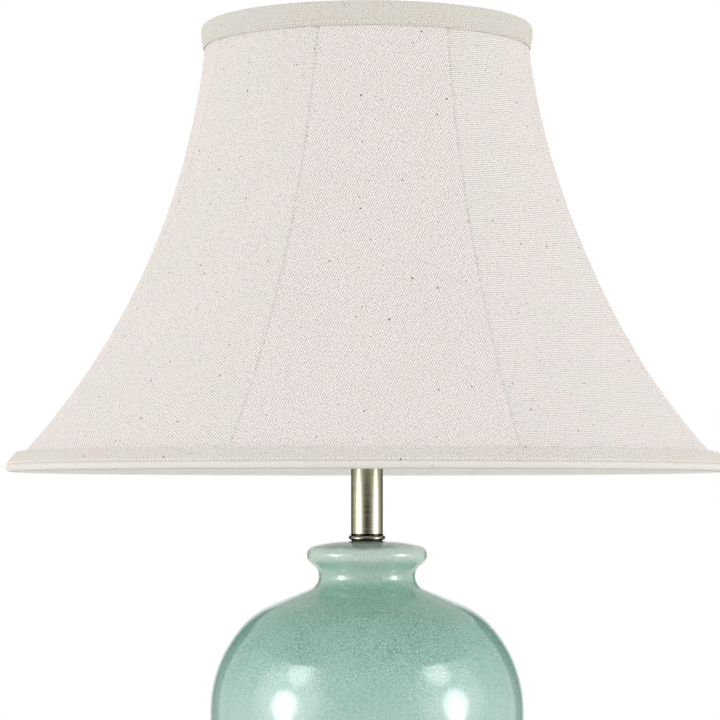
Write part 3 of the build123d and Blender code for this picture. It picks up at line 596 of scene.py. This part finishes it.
topTrim = {  # mm
    "lobe": 3.2, "cloth": 1.1, "hemOut": 0.95, "groove": 0.45, "stitchUp": 2.2, "innerIn": 1.6,
    "innerDrop": 11.0, "stitch": 2.4, "stitchHalf": (0.85, 0.35, 0.42), "steps": 160,
}
lowTrim = {  # mm and degrees
    "lobe": 3.1, "cloth": 1.1, "noseOut": 2.2, "noseDrop": 0.15, "nose": 2.85, "corner": 2.4,
    "stitchUp": -0.1, "rollFrom": 18, "groove": 1.1, "stitch": 2.6, "stitchHalf": (0.9, 0.35, 0.45),
    "innerIn": 4.3, "innerFrom": 2.4, "innerRise": 5.0, "steps": 256,
    "tape": 0.25, "tapeIn": 1.6, "tapeUp": 2.4, "tapeSteps": 192,
}
trimLinen = dict(shadeLinen, warp=1.2, weft=1.3, seams=False, weaveShade=1.2, weaveLight=1.3, wander=1.2,
                 cool="#D8D8CF", rosy="#DED5CD", gap="#98918A", crown="#F7F4EC")
trimCloth = linenCloth("trimLinen", "#DCD8CF", trimLinen)
# roll: from and to which height in mm, how much, and the colour of the painted light on the rolled edge
lowTrimLinen = dict(trimLinen, cool="#DEDCD4", rosy="#E0D6CF",
                    roll=(lowRingZ - 1.0, lowRingZ + 3.0, 0.6, "#EEECE6"))
lowTrimCloth = linenCloth("hemLinen", "#DED9D2", lowTrimLinen)


def faceOut(piece):  # outermost face looks away from the axis
    outer = max(piece.data.polygons, key=lambda face: math.hypot(face.center.x, face.center.y))
    if outer.normal.x * outer.center.x + outer.normal.y * outer.center.y < 0:
        piece.data.flip_normals()


def finishTrim(piece, name, node, radius, cloth):
    wrapUv(piece, "weave", radius)
    for corner in piece.data.uv_layers["weave"].data:  # bias cut
        u, v = corner.uv
        corner.uv = ((u - v) * math.sqrt(0.5), (u + v) * math.sqrt(0.5))
    finishPiece(piece, name, "shade", cloth, 60)
    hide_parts(node)


def thickenTrim(trim, cloth):
    faceOut(trim)
    applyModifier(trim, "SOLIDIFY", thickness=cloth * mm, offset=-1, use_even_offset=True)
    applyModifier(trim, "SUBSURF", levels=1, render_levels=1)


def makeTopTrim():
    ring = (topRingR, topRingZ)
    cloth = ribLine(trimLowZ)
    hem = cloth + topTrim["hemOut"]
    stitchZ = trimLowZ + topTrim["stitchUp"]
    sewn = hem - topTrim["groove"]
    out = ring[0] + topTrim["lobe"]
    # tucked under, up the hem, in at the stitches and out to the roll
    path = [(cloth - 0.05, trimLowZ + 0.9), (cloth + 0.1, trimLowZ + 0.1), (cloth + 0.55, trimLowZ)]
    path += [(hem, trimLowZ + 0.7), (hem + 0.1, trimLowZ + 1.4), (sewn, stitchZ - 0.2), (sewn, stitchZ + 0.2)]
    path += [(hem + 0.4, trimLowZ + 3.2), (out - 0.25, trimLowZ + 6.0), (out, ring[1] - 3.5)]
    path += arcPoints(ring, topTrim["lobe"], 0, 168, 12)
    inner = ribLine(topRingZ - 6, shade["liningIn"]) - topTrim["innerIn"]
    path += [(inner + 0.3, ring[1] - 3.0), (inner, ring[1] - 6.0), (inner, ring[1] - topTrim["innerDrop"])]
    trim = turnOutline(path, topTrim["steps"])
    thickenTrim(trim, topTrim["cloth"])
    finishTrim(trim, "topTrimBand", "top_trim", topRingR, trimCloth)
    makeStitches("topTrimStitches", hem - 0.1, stitchZ + 0.1, topTrim, 0)


def makeLowTrim():
    lean = math.asin((bowC[1] - lowRingZ) / bowR)
    ring = (lowRingR, lowRingZ)
    nose = (lowRingR + lowTrim["noseOut"], lowRingZ - lowTrim["noseDrop"])
    corner = lowTrim["corner"]
    cornerZ = trimTopZ - corner
    cornerR = nose[0] + (lowTrim["nose"] - corner - (cornerZ - nose[1]) * math.sin(lean)) / math.cos(lean)

    def onFace(up, sink):  # up the padded face from its nose
        out = lowTrim["nose"] - sink
        return (nose[0] + out * math.cos(lean) - up * math.sin(lean),
                nose[1] + out * math.sin(lean) + up * math.cos(lean))

    cloth = ribLine(trimTopZ)
    groove = lowTrim["stitchUp"]
    # tucked under, round the corner, down the face past the stitches, and round the nose
    path = [(cloth + 0.35, trimTopZ - 1.1), (cloth + 0.9, trimTopZ - 0.35), (cloth + 2.2, trimTopZ - 0.05)]
    path += arcPoints((cornerR, cornerZ), corner, 90, math.degrees(lean), 12)
    path += [onFace(groove + 1.9, 0.0), onFace(groove + 0.7, 0.1), onFace(groove + 0.2, lowTrim["groove"])]
    path.append(onFace(groove - 0.2, lowTrim["groove"]))
    path += arcPoints(nose, lowTrim["nose"], math.degrees(lean) - lowTrim["rollFrom"], -84, 12)
    path += arcPoints(ring, lowTrim["lobe"], -92, -200, 12)
    inX, inZ = ring[0] - lowTrim["innerIn"] * math.cos(lean), ring[1] - lowTrim["innerIn"] * math.sin(lean)
    leg = [(inX - up * math.sin(lean), inZ + up * math.cos(lean))
           for up in (lowTrim["innerFrom"], lowTrim["innerRise"])]
    path += leg
    trim = turnOutline(path, lowTrim["steps"])
    thickenTrim(trim, lowTrim["cloth"])
    finishTrim(trim, "lowTrimBand", "bottom_trim", lowRingR, lowTrimCloth)
    stitchR, stitchZ = onFace(groove + 0.9, 0.05)
    makeStitches("lowTrimStitches", stitchR, stitchZ, lowTrim, lean)
    tape = arcPoints(ring, lowTrim["lobe"] + lowTrim["tape"], -86, -200, 12)  # lining turned round the ring
    tape += [(r - lowTrim["tape"], z) for r, z in leg]
    tape.append((leg[1][0] - lowTrim["tapeIn"], leg[1][1] + lowTrim["tapeUp"]))
    binding = turnOutline(tape, lowTrim["tapeSteps"])
    applyModifier(binding, "SOLIDIFY", thickness=lowTrim["tape"] * mm, offset=0, use_even_offset=True)
    wrapUv(binding, "weave", lowRingR)
    acetate = bpy.data.materials["liningAcetate"]
    finishPiece(binding, "lowTrimLiningEdge", "shade", acetate, 60)


cotton = {"colour": "#F5F1E8", "shadow": "#EBE6DB", "gloss": "#FBF8F1", "twist": 0.667}


def cottonThread():  # mercerised sewing thread: slightly glossy, twisted
    material, tree, shader = startMaterial("cottonThread", cotton["colour"], 0.6, Sheen_Weight=0.3)
    place = addNode(tree, "TexCoord").outputs["Object"]
    twist = addNode(tree, "TexNoise", {"Vector": place, "Scale": 1 / (cotton["twist"] * mm), "Detail": 2.0})
    tone = addNode(tree, "Mix", {0: twist, 6: cotton["shadow"], 7: cotton["gloss"]}, data_type="RGBA")
    linkShader(tree, shader, Base_Color=tone.outputs[2])
    return material


threadLook = cottonThread()


def makeStitches(name, radius, z, settings, lean):  # one stitch, laid round the trim
    count = round(2 * math.pi * radius / settings["stitch"])
    half = settings["stitchHalf"]
    selectOnly()
    bpy.ops.mesh.primitive_uv_sphere_add(segments=8, ring_count=6, radius=1,
                                         location=(radius * mm, 0, z * mm),
                                         rotation=(0, -lean, 0))
    stitch = bpy.context.object
    stitch.scale = (half[1] * mm, half[0] * mm, half[2] * mm)
    bpy.ops.object.transform_apply(location=True, rotation=True, scale=True)
    row = [stitch]
    for index in range(1, count):
        row.append(copyTurned(stitch, 2 * math.pi * index / count))
    finishPiece(joinPieces(row), name, "shade", threadLook, 60)


makeTopTrim()
makeLowTrim()
print("trims are folded")


# jar

jar = {  # mm and degrees
    "foot": 62.0, "footSwell": 2.4, "footRise": 12.0, "footSteps": 8, "footRing": 10.0, "footBevel": 0.8,
    "recess": 4.0,
    "waist": 60.0, "neck": 30.5, "neckStraight": 0.6, "cove": 8.6, "flare": 7.6,
    "lip": 38.2, "lipEdge": 6.0, "lipUnder": -50.0, "lipOver": 75.0, "lidFlat": 11.5,
    "shoulder": 50.0, "side": 80.0, "slopeDeg": 68.0, "sideDeg": 42.0,
    "wall": 6.5, "floor": 7.0, "rodHole": 5.5, "steps": 180,
}


def jarOutline():
    low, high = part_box("jar")
    top, bottom, wide = high.z / mm, low.z / mm, high.x / mm
    over = math.radians(jar["lipOver"])
    under = math.radians(jar["lipUnder"])
    slope = math.radians(jar["slopeDeg"])
    lipX = jar["lip"] - jar["lipEdge"]
    domeR = (lipX + jar["lipEdge"] * math.cos(over) - jar["lidFlat"]) / math.cos(over)
    # each arc's middle, worked down from the lid so that it meets the one above
    lip = (lipX, top - domeR * (1 - math.sin(over)) - jar["lipEdge"] * math.sin(over))
    dome = (jar["lidFlat"], top - domeR)
    flareX = jar["neck"] + jar["flare"]
    reach = lip[0] * math.cos(under) + lip[1] * math.sin(under) + jar["lipEdge"]
    flare = (flareX, (reach + jar["flare"] - flareX * math.cos(under)) / math.sin(under))
    cove = (jar["neck"] + jar["cove"], flare[1] - jar["neckStraight"])
    sideX = wide - jar["side"]
    shoulderX = sideX + (jar["side"] - jar["shoulder"]) * math.cos(math.radians(jar["sideDeg"]))
    slopeReach = cove[0] * math.cos(slope) + cove[1] * math.sin(slope) - jar["cove"]
    shoulder = (shoulderX, (slopeReach - jar["shoulder"] - shoulderX * math.cos(slope)) / math.sin(slope))
    side = (sideX, shoulder[1] - (jar["side"] - jar["shoulder"]) * math.sin(math.radians(jar["sideDeg"])))
    footTop = bottom + jar["footRise"]
    inset = wide - jar["waist"]
    bellyR = (inset ** 2 + (side[1] - footTop) ** 2) / (2 * inset)
    belly = (wide - bellyR, side[1])

    def wall(skin, lowZ, step):  # from the waist up to the neck, inside the skin
        lowDeg = -math.degrees(math.asin((side[1] - lowZ) / (bellyR - skin)))
        points = arcPoints(belly, bellyR - skin, lowDeg, 0, step / 3)
        points += arcPoints(side, jar["side"] - skin, 0, jar["sideDeg"], step)[1:]
        points += arcPoints(shoulder, jar["shoulder"] - skin, jar["sideDeg"], jar["slopeDeg"], step)[1:]
        points += arcPoints(cove, jar["cove"] + skin, jar["slopeDeg"] + 180, 180, step)
        return points

    # up the outside from the rod's hole, and back down the inside
    ringIn, bevel = jar["foot"] - jar["footRing"], jar["footBevel"]
    outer = [(jar["rodHole"], bottom + jar["recess"]), (ringIn, bottom + jar["recess"])]
    outer += [(ringIn, bottom + bevel), (ringIn + bevel, bottom)]
    outer += [(jar["foot"] - bevel, bottom), (jar["foot"], bottom + 0.5)]
    for step in range(1, jar["footSteps"]):
        up = step / jar["footSteps"]
        swell = jar["footSwell"] * math.sin(math.pi * up)
        outer.append((jar["foot"] + (jar["waist"] - jar["foot"]) * up + swell, bottom + jar["footRise"] * up))
    outer += wall(0, footTop, 3.0)
    outer += arcPoints(flare, jar["flare"], 180, jar["lipUnder"] + 180, 5)
    outer += arcPoints(lip, jar["lipEdge"], jar["lipUnder"], jar["lipOver"], 5)
    outer += arcPoints(dome, domeR, jar["lipOver"], 90, 1.5)[1:]
    outer += [(jar["rodHole"] + 1.0, top), (jar["rodHole"], top - 0.6)]
    floorZ = bottom + jar["recess"] + jar["floor"]
    roofZ = top - jar["floor"]
    inside = wall(jar["wall"], floorZ, 8.0)
    inner = [(jar["rodHole"], roofZ), (jar["neck"] - jar["wall"], roofZ)] + list(reversed(inside))
    inner += [(jar["rodHole"], floorZ)]
    return outer + inner


glaze = {
    "foot": "#B4D2C9", "body": "#ABCCC4", "shoulder": "#9AC8BD", "pool": "#96C7B7", "neck": "#B9D6CA",
    "lip": "#D3E6DB", "lid": "#8BA49F",
    "bands": (  # share of the jar's height, and the colour there
        (0.05, "body"), (0.62, "body"), (0.78, "shoulder"), (0.86, "pool"), (0.898, "pool"), (0.912, "neck"),
        (0.945, "neck"), (0.965, "lip"), (0.985, "lip"), (0.993, "lid"),
    ),
    "run": "#C4DBD2", "dark": "#5F8C7E", "light": "#CBE2DA", "crack": "#5E8676",
    "crackle": 1.55,  # mm from crack to crack
    "crackBend": 1.2,
    "speckle": 0.85,  # mm from fleck to fleck
    "streak": (1.2, 18.0),  # mm across and down a run of glaze
    "rippleUp": 2.5,  # mm that the bands wander up and down
    "ripple": 45.45,  # mm from one uneven place to the next
    "cover": 22.22,
    "bend": 5.0,
    "orange": 6.25,  # orange-peel dimples
}


# thick celadon over stoneware: glassy, finely crazed, pale on edges, green where it pools
def celadonGlaze():
    material, tree, shader = startMaterial("celadonGlaze", glaze["body"], 0.1, IOR=1.5, Coat_Weight=0.25,
                                           Coat_Roughness=0.04)
    place = addNode(tree, "TexCoord").outputs["Object"]
    split = addNode(tree, "SeparateXYZ", {0: place})
    ripple = addNode(tree, "TexNoise", {"Vector": place, "Scale": 1 / (glaze["ripple"] * mm), "Detail": 3.0})
    rise = glaze["rippleUp"] * mm
    wave = addNode(tree, "MapRange", {0: ripple, 1: 0.3, 2: 0.7, 3: -rise, 4: rise})
    level = addNode(tree, "Math", {0: split.outputs["Z"], 1: wave}, operation="ADD")
    low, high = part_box("jar")
    share = addNode(tree, "MapRange", {0: level, 1: low.z, 2: high.z, 3: 0.0, 4: 1.0})
    depth = addNode(tree, "ValToRGB", {0: share})
    stops = depth.color_ramp.elements
    stops[0].position, stops[0].color = 0.0, hexColour(glaze["foot"])
    stops[1].position, stops[1].color = 1.0, hexColour(glaze["lid"])
    for spot, name in glaze["bands"]:
        stops.new(spot).color = hexColour(glaze[name])
    shown = depth.outputs[0]
    across, along = glaze["streak"]
    scaled = addNode(tree, "VectorMath",
                     {0: place, 1: (1 / (across * mm), 1 / (across * mm), 1 / (along * mm))},
                     operation="MULTIPLY")
    streak = addNode(tree, "TexNoise", {"Vector": scaled, "Scale": 0.5, "Detail": 2.0})
    run = addNode(tree, "MapRange", {0: streak, 1: 0.45, 2: 0.7, 3: 0.0, 4: 0.3})
    belly = addNode(tree, "MapRange", {0: share, 1: 0.6, 2: 0.75, 3: 1.0, 4: 0.35})
    run = addNode(tree, "Math", {0: run, 1: belly}, operation="MULTIPLY")
    shown = addNode(tree, "Mix", {0: run, 6: shown, 7: glaze["run"]}, data_type="RGBA").outputs[2]
    tall = addNode(tree, "VectorMath", {0: place, 1: (1, 1, 0.6)}, operation="MULTIPLY")
    grain = addNode(tree, "TexNoise",
                    {"Vector": tall, "Scale": 1 / (glaze["speckle"] * mm), "Detail": 1.5, "Roughness": 0.5})
    cover = addNode(tree, "TexNoise", {"Vector": place, "Scale": 1 / (glaze["cover"] * mm), "Detail": 3.0})
    strong = addNode(tree, "MapRange", {0: cover, 1: 0.4, 2: 0.6, 3: 0.7, 4: 1.0})
    lid = addNode(tree, "MapRange", {0: share, 1: 0.88, 2: 0.92, 3: 1.0, 4: 0.3})
    strong = addNode(tree, "Math", {0: strong, 1: lid}, operation="MULTIPLY")
    calm = addNode(tree, "MapRange", {0: share, 1: 0.62, 2: 0.76, 3: 0.5, 4: 1.4})
    strong = addNode(tree, "Math", {0: strong, 1: calm}, operation="MULTIPLY")
    dark = addNode(tree, "MapRange", {0: grain, 1: 0.5, 2: 0.64, 3: 0.0, 4: 0.38})
    light = addNode(tree, "MapRange", {0: grain, 1: 0.48, 2: 0.34, 3: 0.0, 4: 0.3})
    dark = addNode(tree, "Math", {0: dark, 1: strong}, operation="MULTIPLY")
    light = addNode(tree, "Math", {0: light, 1: strong}, operation="MULTIPLY")
    shown = addNode(tree, "Mix", {0: dark, 6: shown, 7: glaze["dark"]}, data_type="RGBA").outputs[2]
    shown = addNode(tree, "Mix", {0: light, 6: shown, 7: glaze["light"]}, data_type="RGBA").outputs[2]
    bend = addNode(tree, "TexNoise", {"Vector": place, "Scale": 1 / (glaze["bend"] * mm), "Detail": 2.0})
    warped = addNode(tree, "VectorMath",
                     {0: bend.outputs["Color"], 1: (glaze["crackBend"] * mm,) * 3, 2: tall},
                     operation="MULTIPLY_ADD")
    cells = addNode(tree, "TexVoronoi",
                    {"Vector": warped, "Scale": 1 / (glaze["crackle"] * mm)}, feature="DISTANCE_TO_EDGE")
    crack = addNode(tree, "MapRange", {0: cells.outputs["Distance"], 1: 0.02, 2: 0.16, 3: 0.42, 4: 0.0})
    crack = addNode(tree, "Math", {0: crack, 1: strong}, operation="MULTIPLY")
    shown = addNode(tree, "Mix", {0: crack, 6: shown, 7: glaze["crack"]}, data_type="RGBA").outputs[2]
    orange = addNode(tree, "TexNoise", {"Vector": place, "Scale": 1 / (glaze["orange"] * mm), "Detail": 1.0})
    bump = addNode(tree, "Bump", {"Height": orange, "Strength": 0.12, "Distance": 0.5 * mm})
    linkShader(tree, shader, Base_Color=shown, Normal=bump)
    return material


def makeJar():
    piece = turnOutline(jarOutline(), jar["steps"], closed=True)
    finishPiece(piece, "jarBody", "base", celadonGlaze(), 30)
    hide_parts("jar")


makeJar()
print("jar is thrown")


# metals, plastics and the rest

nickel = {
    "fine": 0.45,  # mm from stroke to stroke, coarser than real brushing, so that it shows
    "coarse": 9.0,
    "edge": "#1C1914",
    # painted shade in the grooves: its colour, and how far in mm it fades out
    "grooveShade": "#1B1813",
    "grooveShadeFade": 0.25,
    "polish": 0.22,  # roughness of the pole and its ring
}


# warm nickel, brushed round: soft bands, dark edges, and painted shade in the grooves
def brushedNickel(name, dull, bright, roughness, grooves=()):
    material, tree, shader = startMaterial(name, bright, roughness, 1.0)
    shader.inputs["Specular Tint"].default_value = hexColour(nickel["edge"])
    place = addNode(tree, "TexCoord").outputs["Object"]
    fine, coarse = 1 / (nickel["fine"] * mm), 1 / (nickel["coarse"] * mm)
    lines = addNode(tree, "VectorMath", {0: place, 1: (coarse, coarse, fine)}, operation="MULTIPLY")
    hair = addNode(tree, "TexNoise", {"Vector": lines, "Scale": 0.4, "Detail": 3.0})
    tone = addNode(tree, "Mix", {0: hair, 6: dull, 7: bright}, data_type="RGBA").outputs[2]
    up = addNode(tree, "SeparateXYZ", {0: place}).outputs["Z"]
    for height, half in grooves:  # painted shade: the metal is coloured dark in and beside each groove
        apart = addNode(tree, "Math", {0: up, 1: height * mm}, operation="SUBTRACT")
        apart = addNode(tree, "Math", {0: apart}, operation="ABSOLUTE")
        near = addNode(tree, "MapRange",
                       {0: apart, 1: half * mm, 2: (half + nickel["grooveShadeFade"]) * mm, 3: 0.95, 4: 0.0},
                       interpolation_type="SMOOTHSTEP")
        tone = addNode(tree, "Mix", {0: near, 6: tone, 7: nickel["grooveShade"]}, data_type="RGBA").outputs[2]
    rough = addNode(tree, "MapRange", {0: hair, 1: 0.3, 2: 0.7, 3: roughness * 0.85, 4: roughness * 1.15})
    bump = addNode(tree, "Bump", {"Height": hair, "Strength": 0.04, "Distance": 0.05 * mm})
    linkShader(tree, shader, Base_Color=tone, Roughness=rough, Normal=bump)
    return material


# plated or rolled metal with faint blotches
def plainMetal(name, colour, other, roughness, grain, metallic=1.0):
    material, tree, shader = startMaterial(name, colour, roughness, metallic)
    place = addNode(tree, "TexCoord").outputs["Object"]
    cloud = addNode(tree, "TexNoise", {"Vector": place, "Scale": 1 / (grain * mm), "Detail": 4.0})
    tone = addNode(tree, "Mix", {0: cloud, 6: other, 7: colour}, data_type="RGBA")
    rough = addNode(tree, "MapRange", {0: cloud, 1: 0.3, 2: 0.7, 3: roughness * 0.8, 4: roughness * 1.25})
    bump = addNode(tree, "Bump", {"Height": cloud, "Strength": 0.05, "Distance": 0.1 * mm})
    linkShader(tree, shader, Base_Color=tone.outputs[2], Roughness=rough, Normal=bump)
    return material


def mouldedPlastic(name, colour, roughness, grain, bumpStrength):  # moulded: fine even grain
    material, tree, shader = startMaterial(name, colour, roughness)
    place = addNode(tree, "TexCoord").outputs["Object"]
    pits = addNode(tree, "TexNoise", {"Vector": place, "Scale": 1 / (grain * mm), "Detail": 2.0})
    bump = addNode(tree, "Bump", {"Height": pits, "Strength": bumpStrength, "Distance": 0.1 * mm})
    rough = addNode(tree, "MapRange", {0: pits, 1: 0.3, 2: 0.7, 3: roughness * 0.85, 4: roughness * 1.15})
    linkShader(tree, shader, Roughness=rough, Normal=bump)
    return material


def fibreCard():  # grey-brown pressed fibre: matt, mottled
    material, tree, shader = startMaterial("pressedFibre", "#7A5C3C", 0.85)
    place = addNode(tree, "TexCoord").outputs["Object"]
    mottle = addNode(tree, "TexNoise", {"Vector": place, "Scale": 1 / (1.11 * mm), "Detail": 5.0})
    tone = addNode(tree, "Mix", {0: mottle, 6: "#5F452B", 7: "#8F7150"}, data_type="RGBA")
    linkShader(tree, shader, Base_Color=tone.outputs[2])
    return material


def woolFelt():  # pressed green wool felt: matt, hairy
    material, tree, shader = startMaterial("woolFelt", "#2C3B32", 0.95, Sheen_Weight=0.5)
    place = addNode(tree, "TexCoord").outputs["Object"]
    hair = addNode(tree, "TexNoise",
                   {"Vector": place, "Scale": 1 / (0.714 * mm), "Detail": 5.0, "Distortion": 1.5})
    tone = addNode(tree, "Mix", {0: hair, 6: "#1F2A24", 7: "#45574B"}, data_type="RGBA")
    bump = addNode(tree, "Bump", {"Height": hair, "Strength": 0.7, "Distance": 0.3 * mm})
    linkShader(tree, shader, Base_Color=tone.outputs[2], Normal=bump)
    return material


def lampGlass(name, colour, roughness, clear, grain):  # soda glass: faintly rippled, misty where it is etched
    material, tree, shader = startMaterial(name, colour, roughness, IOR=1.5, Transmission_Weight=clear)
    place = addNode(tree, "TexCoord").outputs["Object"]
    ripple = addNode(tree, "TexNoise", {"Vector": place, "Scale": 1 / (grain * mm), "Detail": 2.0})
    bump = addNode(tree, "Bump", {"Height": ripple, "Strength": 0.06, "Distance": 0.1 * mm})
    linkShader(tree, shader, Normal=bump)
    return material


# colours, roughness, and the grain in mm
finishes = {
    "brushed_nickel": brushedNickel("brushedNickel", "#A39E8C", "#B8B4A2", 0.28),
    "plain_steel": plainMetal("zincSteel", "#B9BCBE", "#9CA1A5", 0.32, 2.5),
    "cast_iron": plainMetal("castIron", "#2B2A29", "#1D1C1B", 0.7, 1.2, 0.6),
    "nickel_wire": plainMetal("nickelWire", "#CFCBC2", "#B8B2A6", 0.2, 6.0),
    "painted_wire": mouldedPlastic("whiteEnamel", "#E9E8E4", 0.35, 0.8, 0.1),  # dipped enamel, slightly wavy
    "brass": plainMetal("rolledBrass", "#C9A563", "#C09A55", 0.25, 5.0),
    "rubber": mouldedPlastic("blackRubber", "#1C1C1C", 0.75, 0.5, 0.2),
    "felt": woolFelt(),
    "black_plastic": mouldedPlastic("blackPhenolic", "#161616", 0.28, 0.6, 0.08),
    "fibre": fibreCard(),
    "bulb_glass": lampGlass("etchedGlass", "#FBFAF6", 0.45, 0.55, 1.67),
    "clear_glass": lampGlass("clearGlass", "#F2F7F7", 0.02, 1.0, 16.7),
    "bulb_metal": plainMetal("rolledAluminium", "#C5C6C8", "#ABADB0", 0.3, 3.0),
    "tungsten": plainMetal("tungstenWire", "#5A5A5C", "#444446", 0.4, 0.5),
    "celadon_glaze": bpy.data.materials["celadonGlaze"],
    "shade_linen": linen,
    "trim_fabric": trimCloth,
    "lining_fabric": bpy.data.materials["liningAcetate"],
}


def dressNodes():
    for part in frame["record"]["subparts"]:
        node = frame["nodes"][part["node"]]
        node.data.materials.clear()
        node.data.materials.append(finishes[part["material_slot"]])


dressNodes()
print("finishes are on")


# pole and its ring

# footShade: half width in mm of the painted shade where the pole meets its ring
pole = {"wall": 1.2, "bevel": 0.35, "steps": 96, "footShade": 0.35, "dull": "#9D9983", "bright": "#ABA790"}
checkRing = {  # mm inward from its widest, and up from its foot
    "hole": 5.5, "footIn": 1.1, "footUp": 0.3, "bevel": 0.35, "beadLow": 0.8, "beadTop": 2.1, "neckIn": 1.3,
    "neckLow": 2.65, "neckTop": 3.05, "seatIn": 0.6, "seatUp": 3.1, "spigotGap": 0.05, "spigotBevel": 0.4,
    "dark": ((0.15, 0.35), (3.0, 0.45)),  # height and half width of each groove given painted shade
    "dull": "#7C7A6C", "bright": "#949183",
}


def makePole():
    low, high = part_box("pole_tube")
    metal = brushedNickel("poleNickel", pole["dull"], pole["bright"], nickel["polish"],
                          [(low.z / mm, pole["footShade"])])
    r, inner = high.x / mm, high.x / mm - pole["wall"]
    b = pole["bevel"]
    foot, top = low.z / mm, high.z / mm
    outline = [(inner, foot), (r - b, foot), (r, foot + b), (r, top - b), (r - b, top), (inner, top)]
    piece = turnOutline(outline, pole["steps"], closed=True)
    finishPiece(piece, "poleTube", "base", metal, 30)
    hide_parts("pole_tube")


def makeCheckRing():
    low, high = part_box("check_ring")
    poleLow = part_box("pole_tube")[0].z / mm
    r, z, top = high.x / mm, low.z / mm, high.z / mm
    ring = checkRing
    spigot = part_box("pole_tube")[1].x / mm - pole["wall"] - ring["spigotGap"]
    foot, bead, neck, seat = r - ring["footIn"], r - ring["bevel"], r - ring["neckIn"], r - ring["seatIn"]
    outline = [(ring["hole"], z), (foot, z), (foot, z + ring["footUp"]), (bead, z + ring["footUp"] + 0.05)]
    outline += [(r, z + ring["beadLow"]), (r, z + ring["beadTop"]), (bead, z + ring["neckLow"] - 0.05)]
    outline += [(neck, z + ring["neckLow"]), (neck, z + ring["neckTop"]), (seat, z + ring["seatUp"])]
    outline += [(seat, poleLow), (spigot, poleLow), (spigot, top - ring["spigotBevel"])]
    outline += [(spigot - ring["spigotBevel"], top), (ring["hole"], top)]
    piece = turnOutline(outline, pole["steps"], closed=True)
    grooves = [(z + up, half) for up, half in ring["dark"]]
    metal = brushedNickel("ringNickel", ring["dull"], ring["bright"], nickel["polish"], grooves)
    finishPiece(piece, "checkRing", "base", metal, 35)
    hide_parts("check_ring")


makePole()
makeCheckRing()
print("pole is up")


# felt under the base

felt = {
    "middle": 0.001,  # so near the axis that it welds shut
    "round": 0.5,
    "bulge": 1.1,
    "steps": 128,
}


def makeFelt():
    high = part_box("felt_pad")[1]
    r, top = high.x / mm, high.z / mm
    edge = r - felt["round"]
    outline = [(felt["middle"], 0.0), (edge, 0.0), (r - 0.1, felt["round"]), (r, felt["bulge"])]
    outline += [(r - 0.15, top - 0.2), (edge, top), (felt["middle"], top)]
    piece = turnOutline(outline, felt["steps"])
    finishPiece(piece, "feltPad", "base", finishes["felt"], 50)
    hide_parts("felt_pad")


makeFelt()
print("felt is glued")
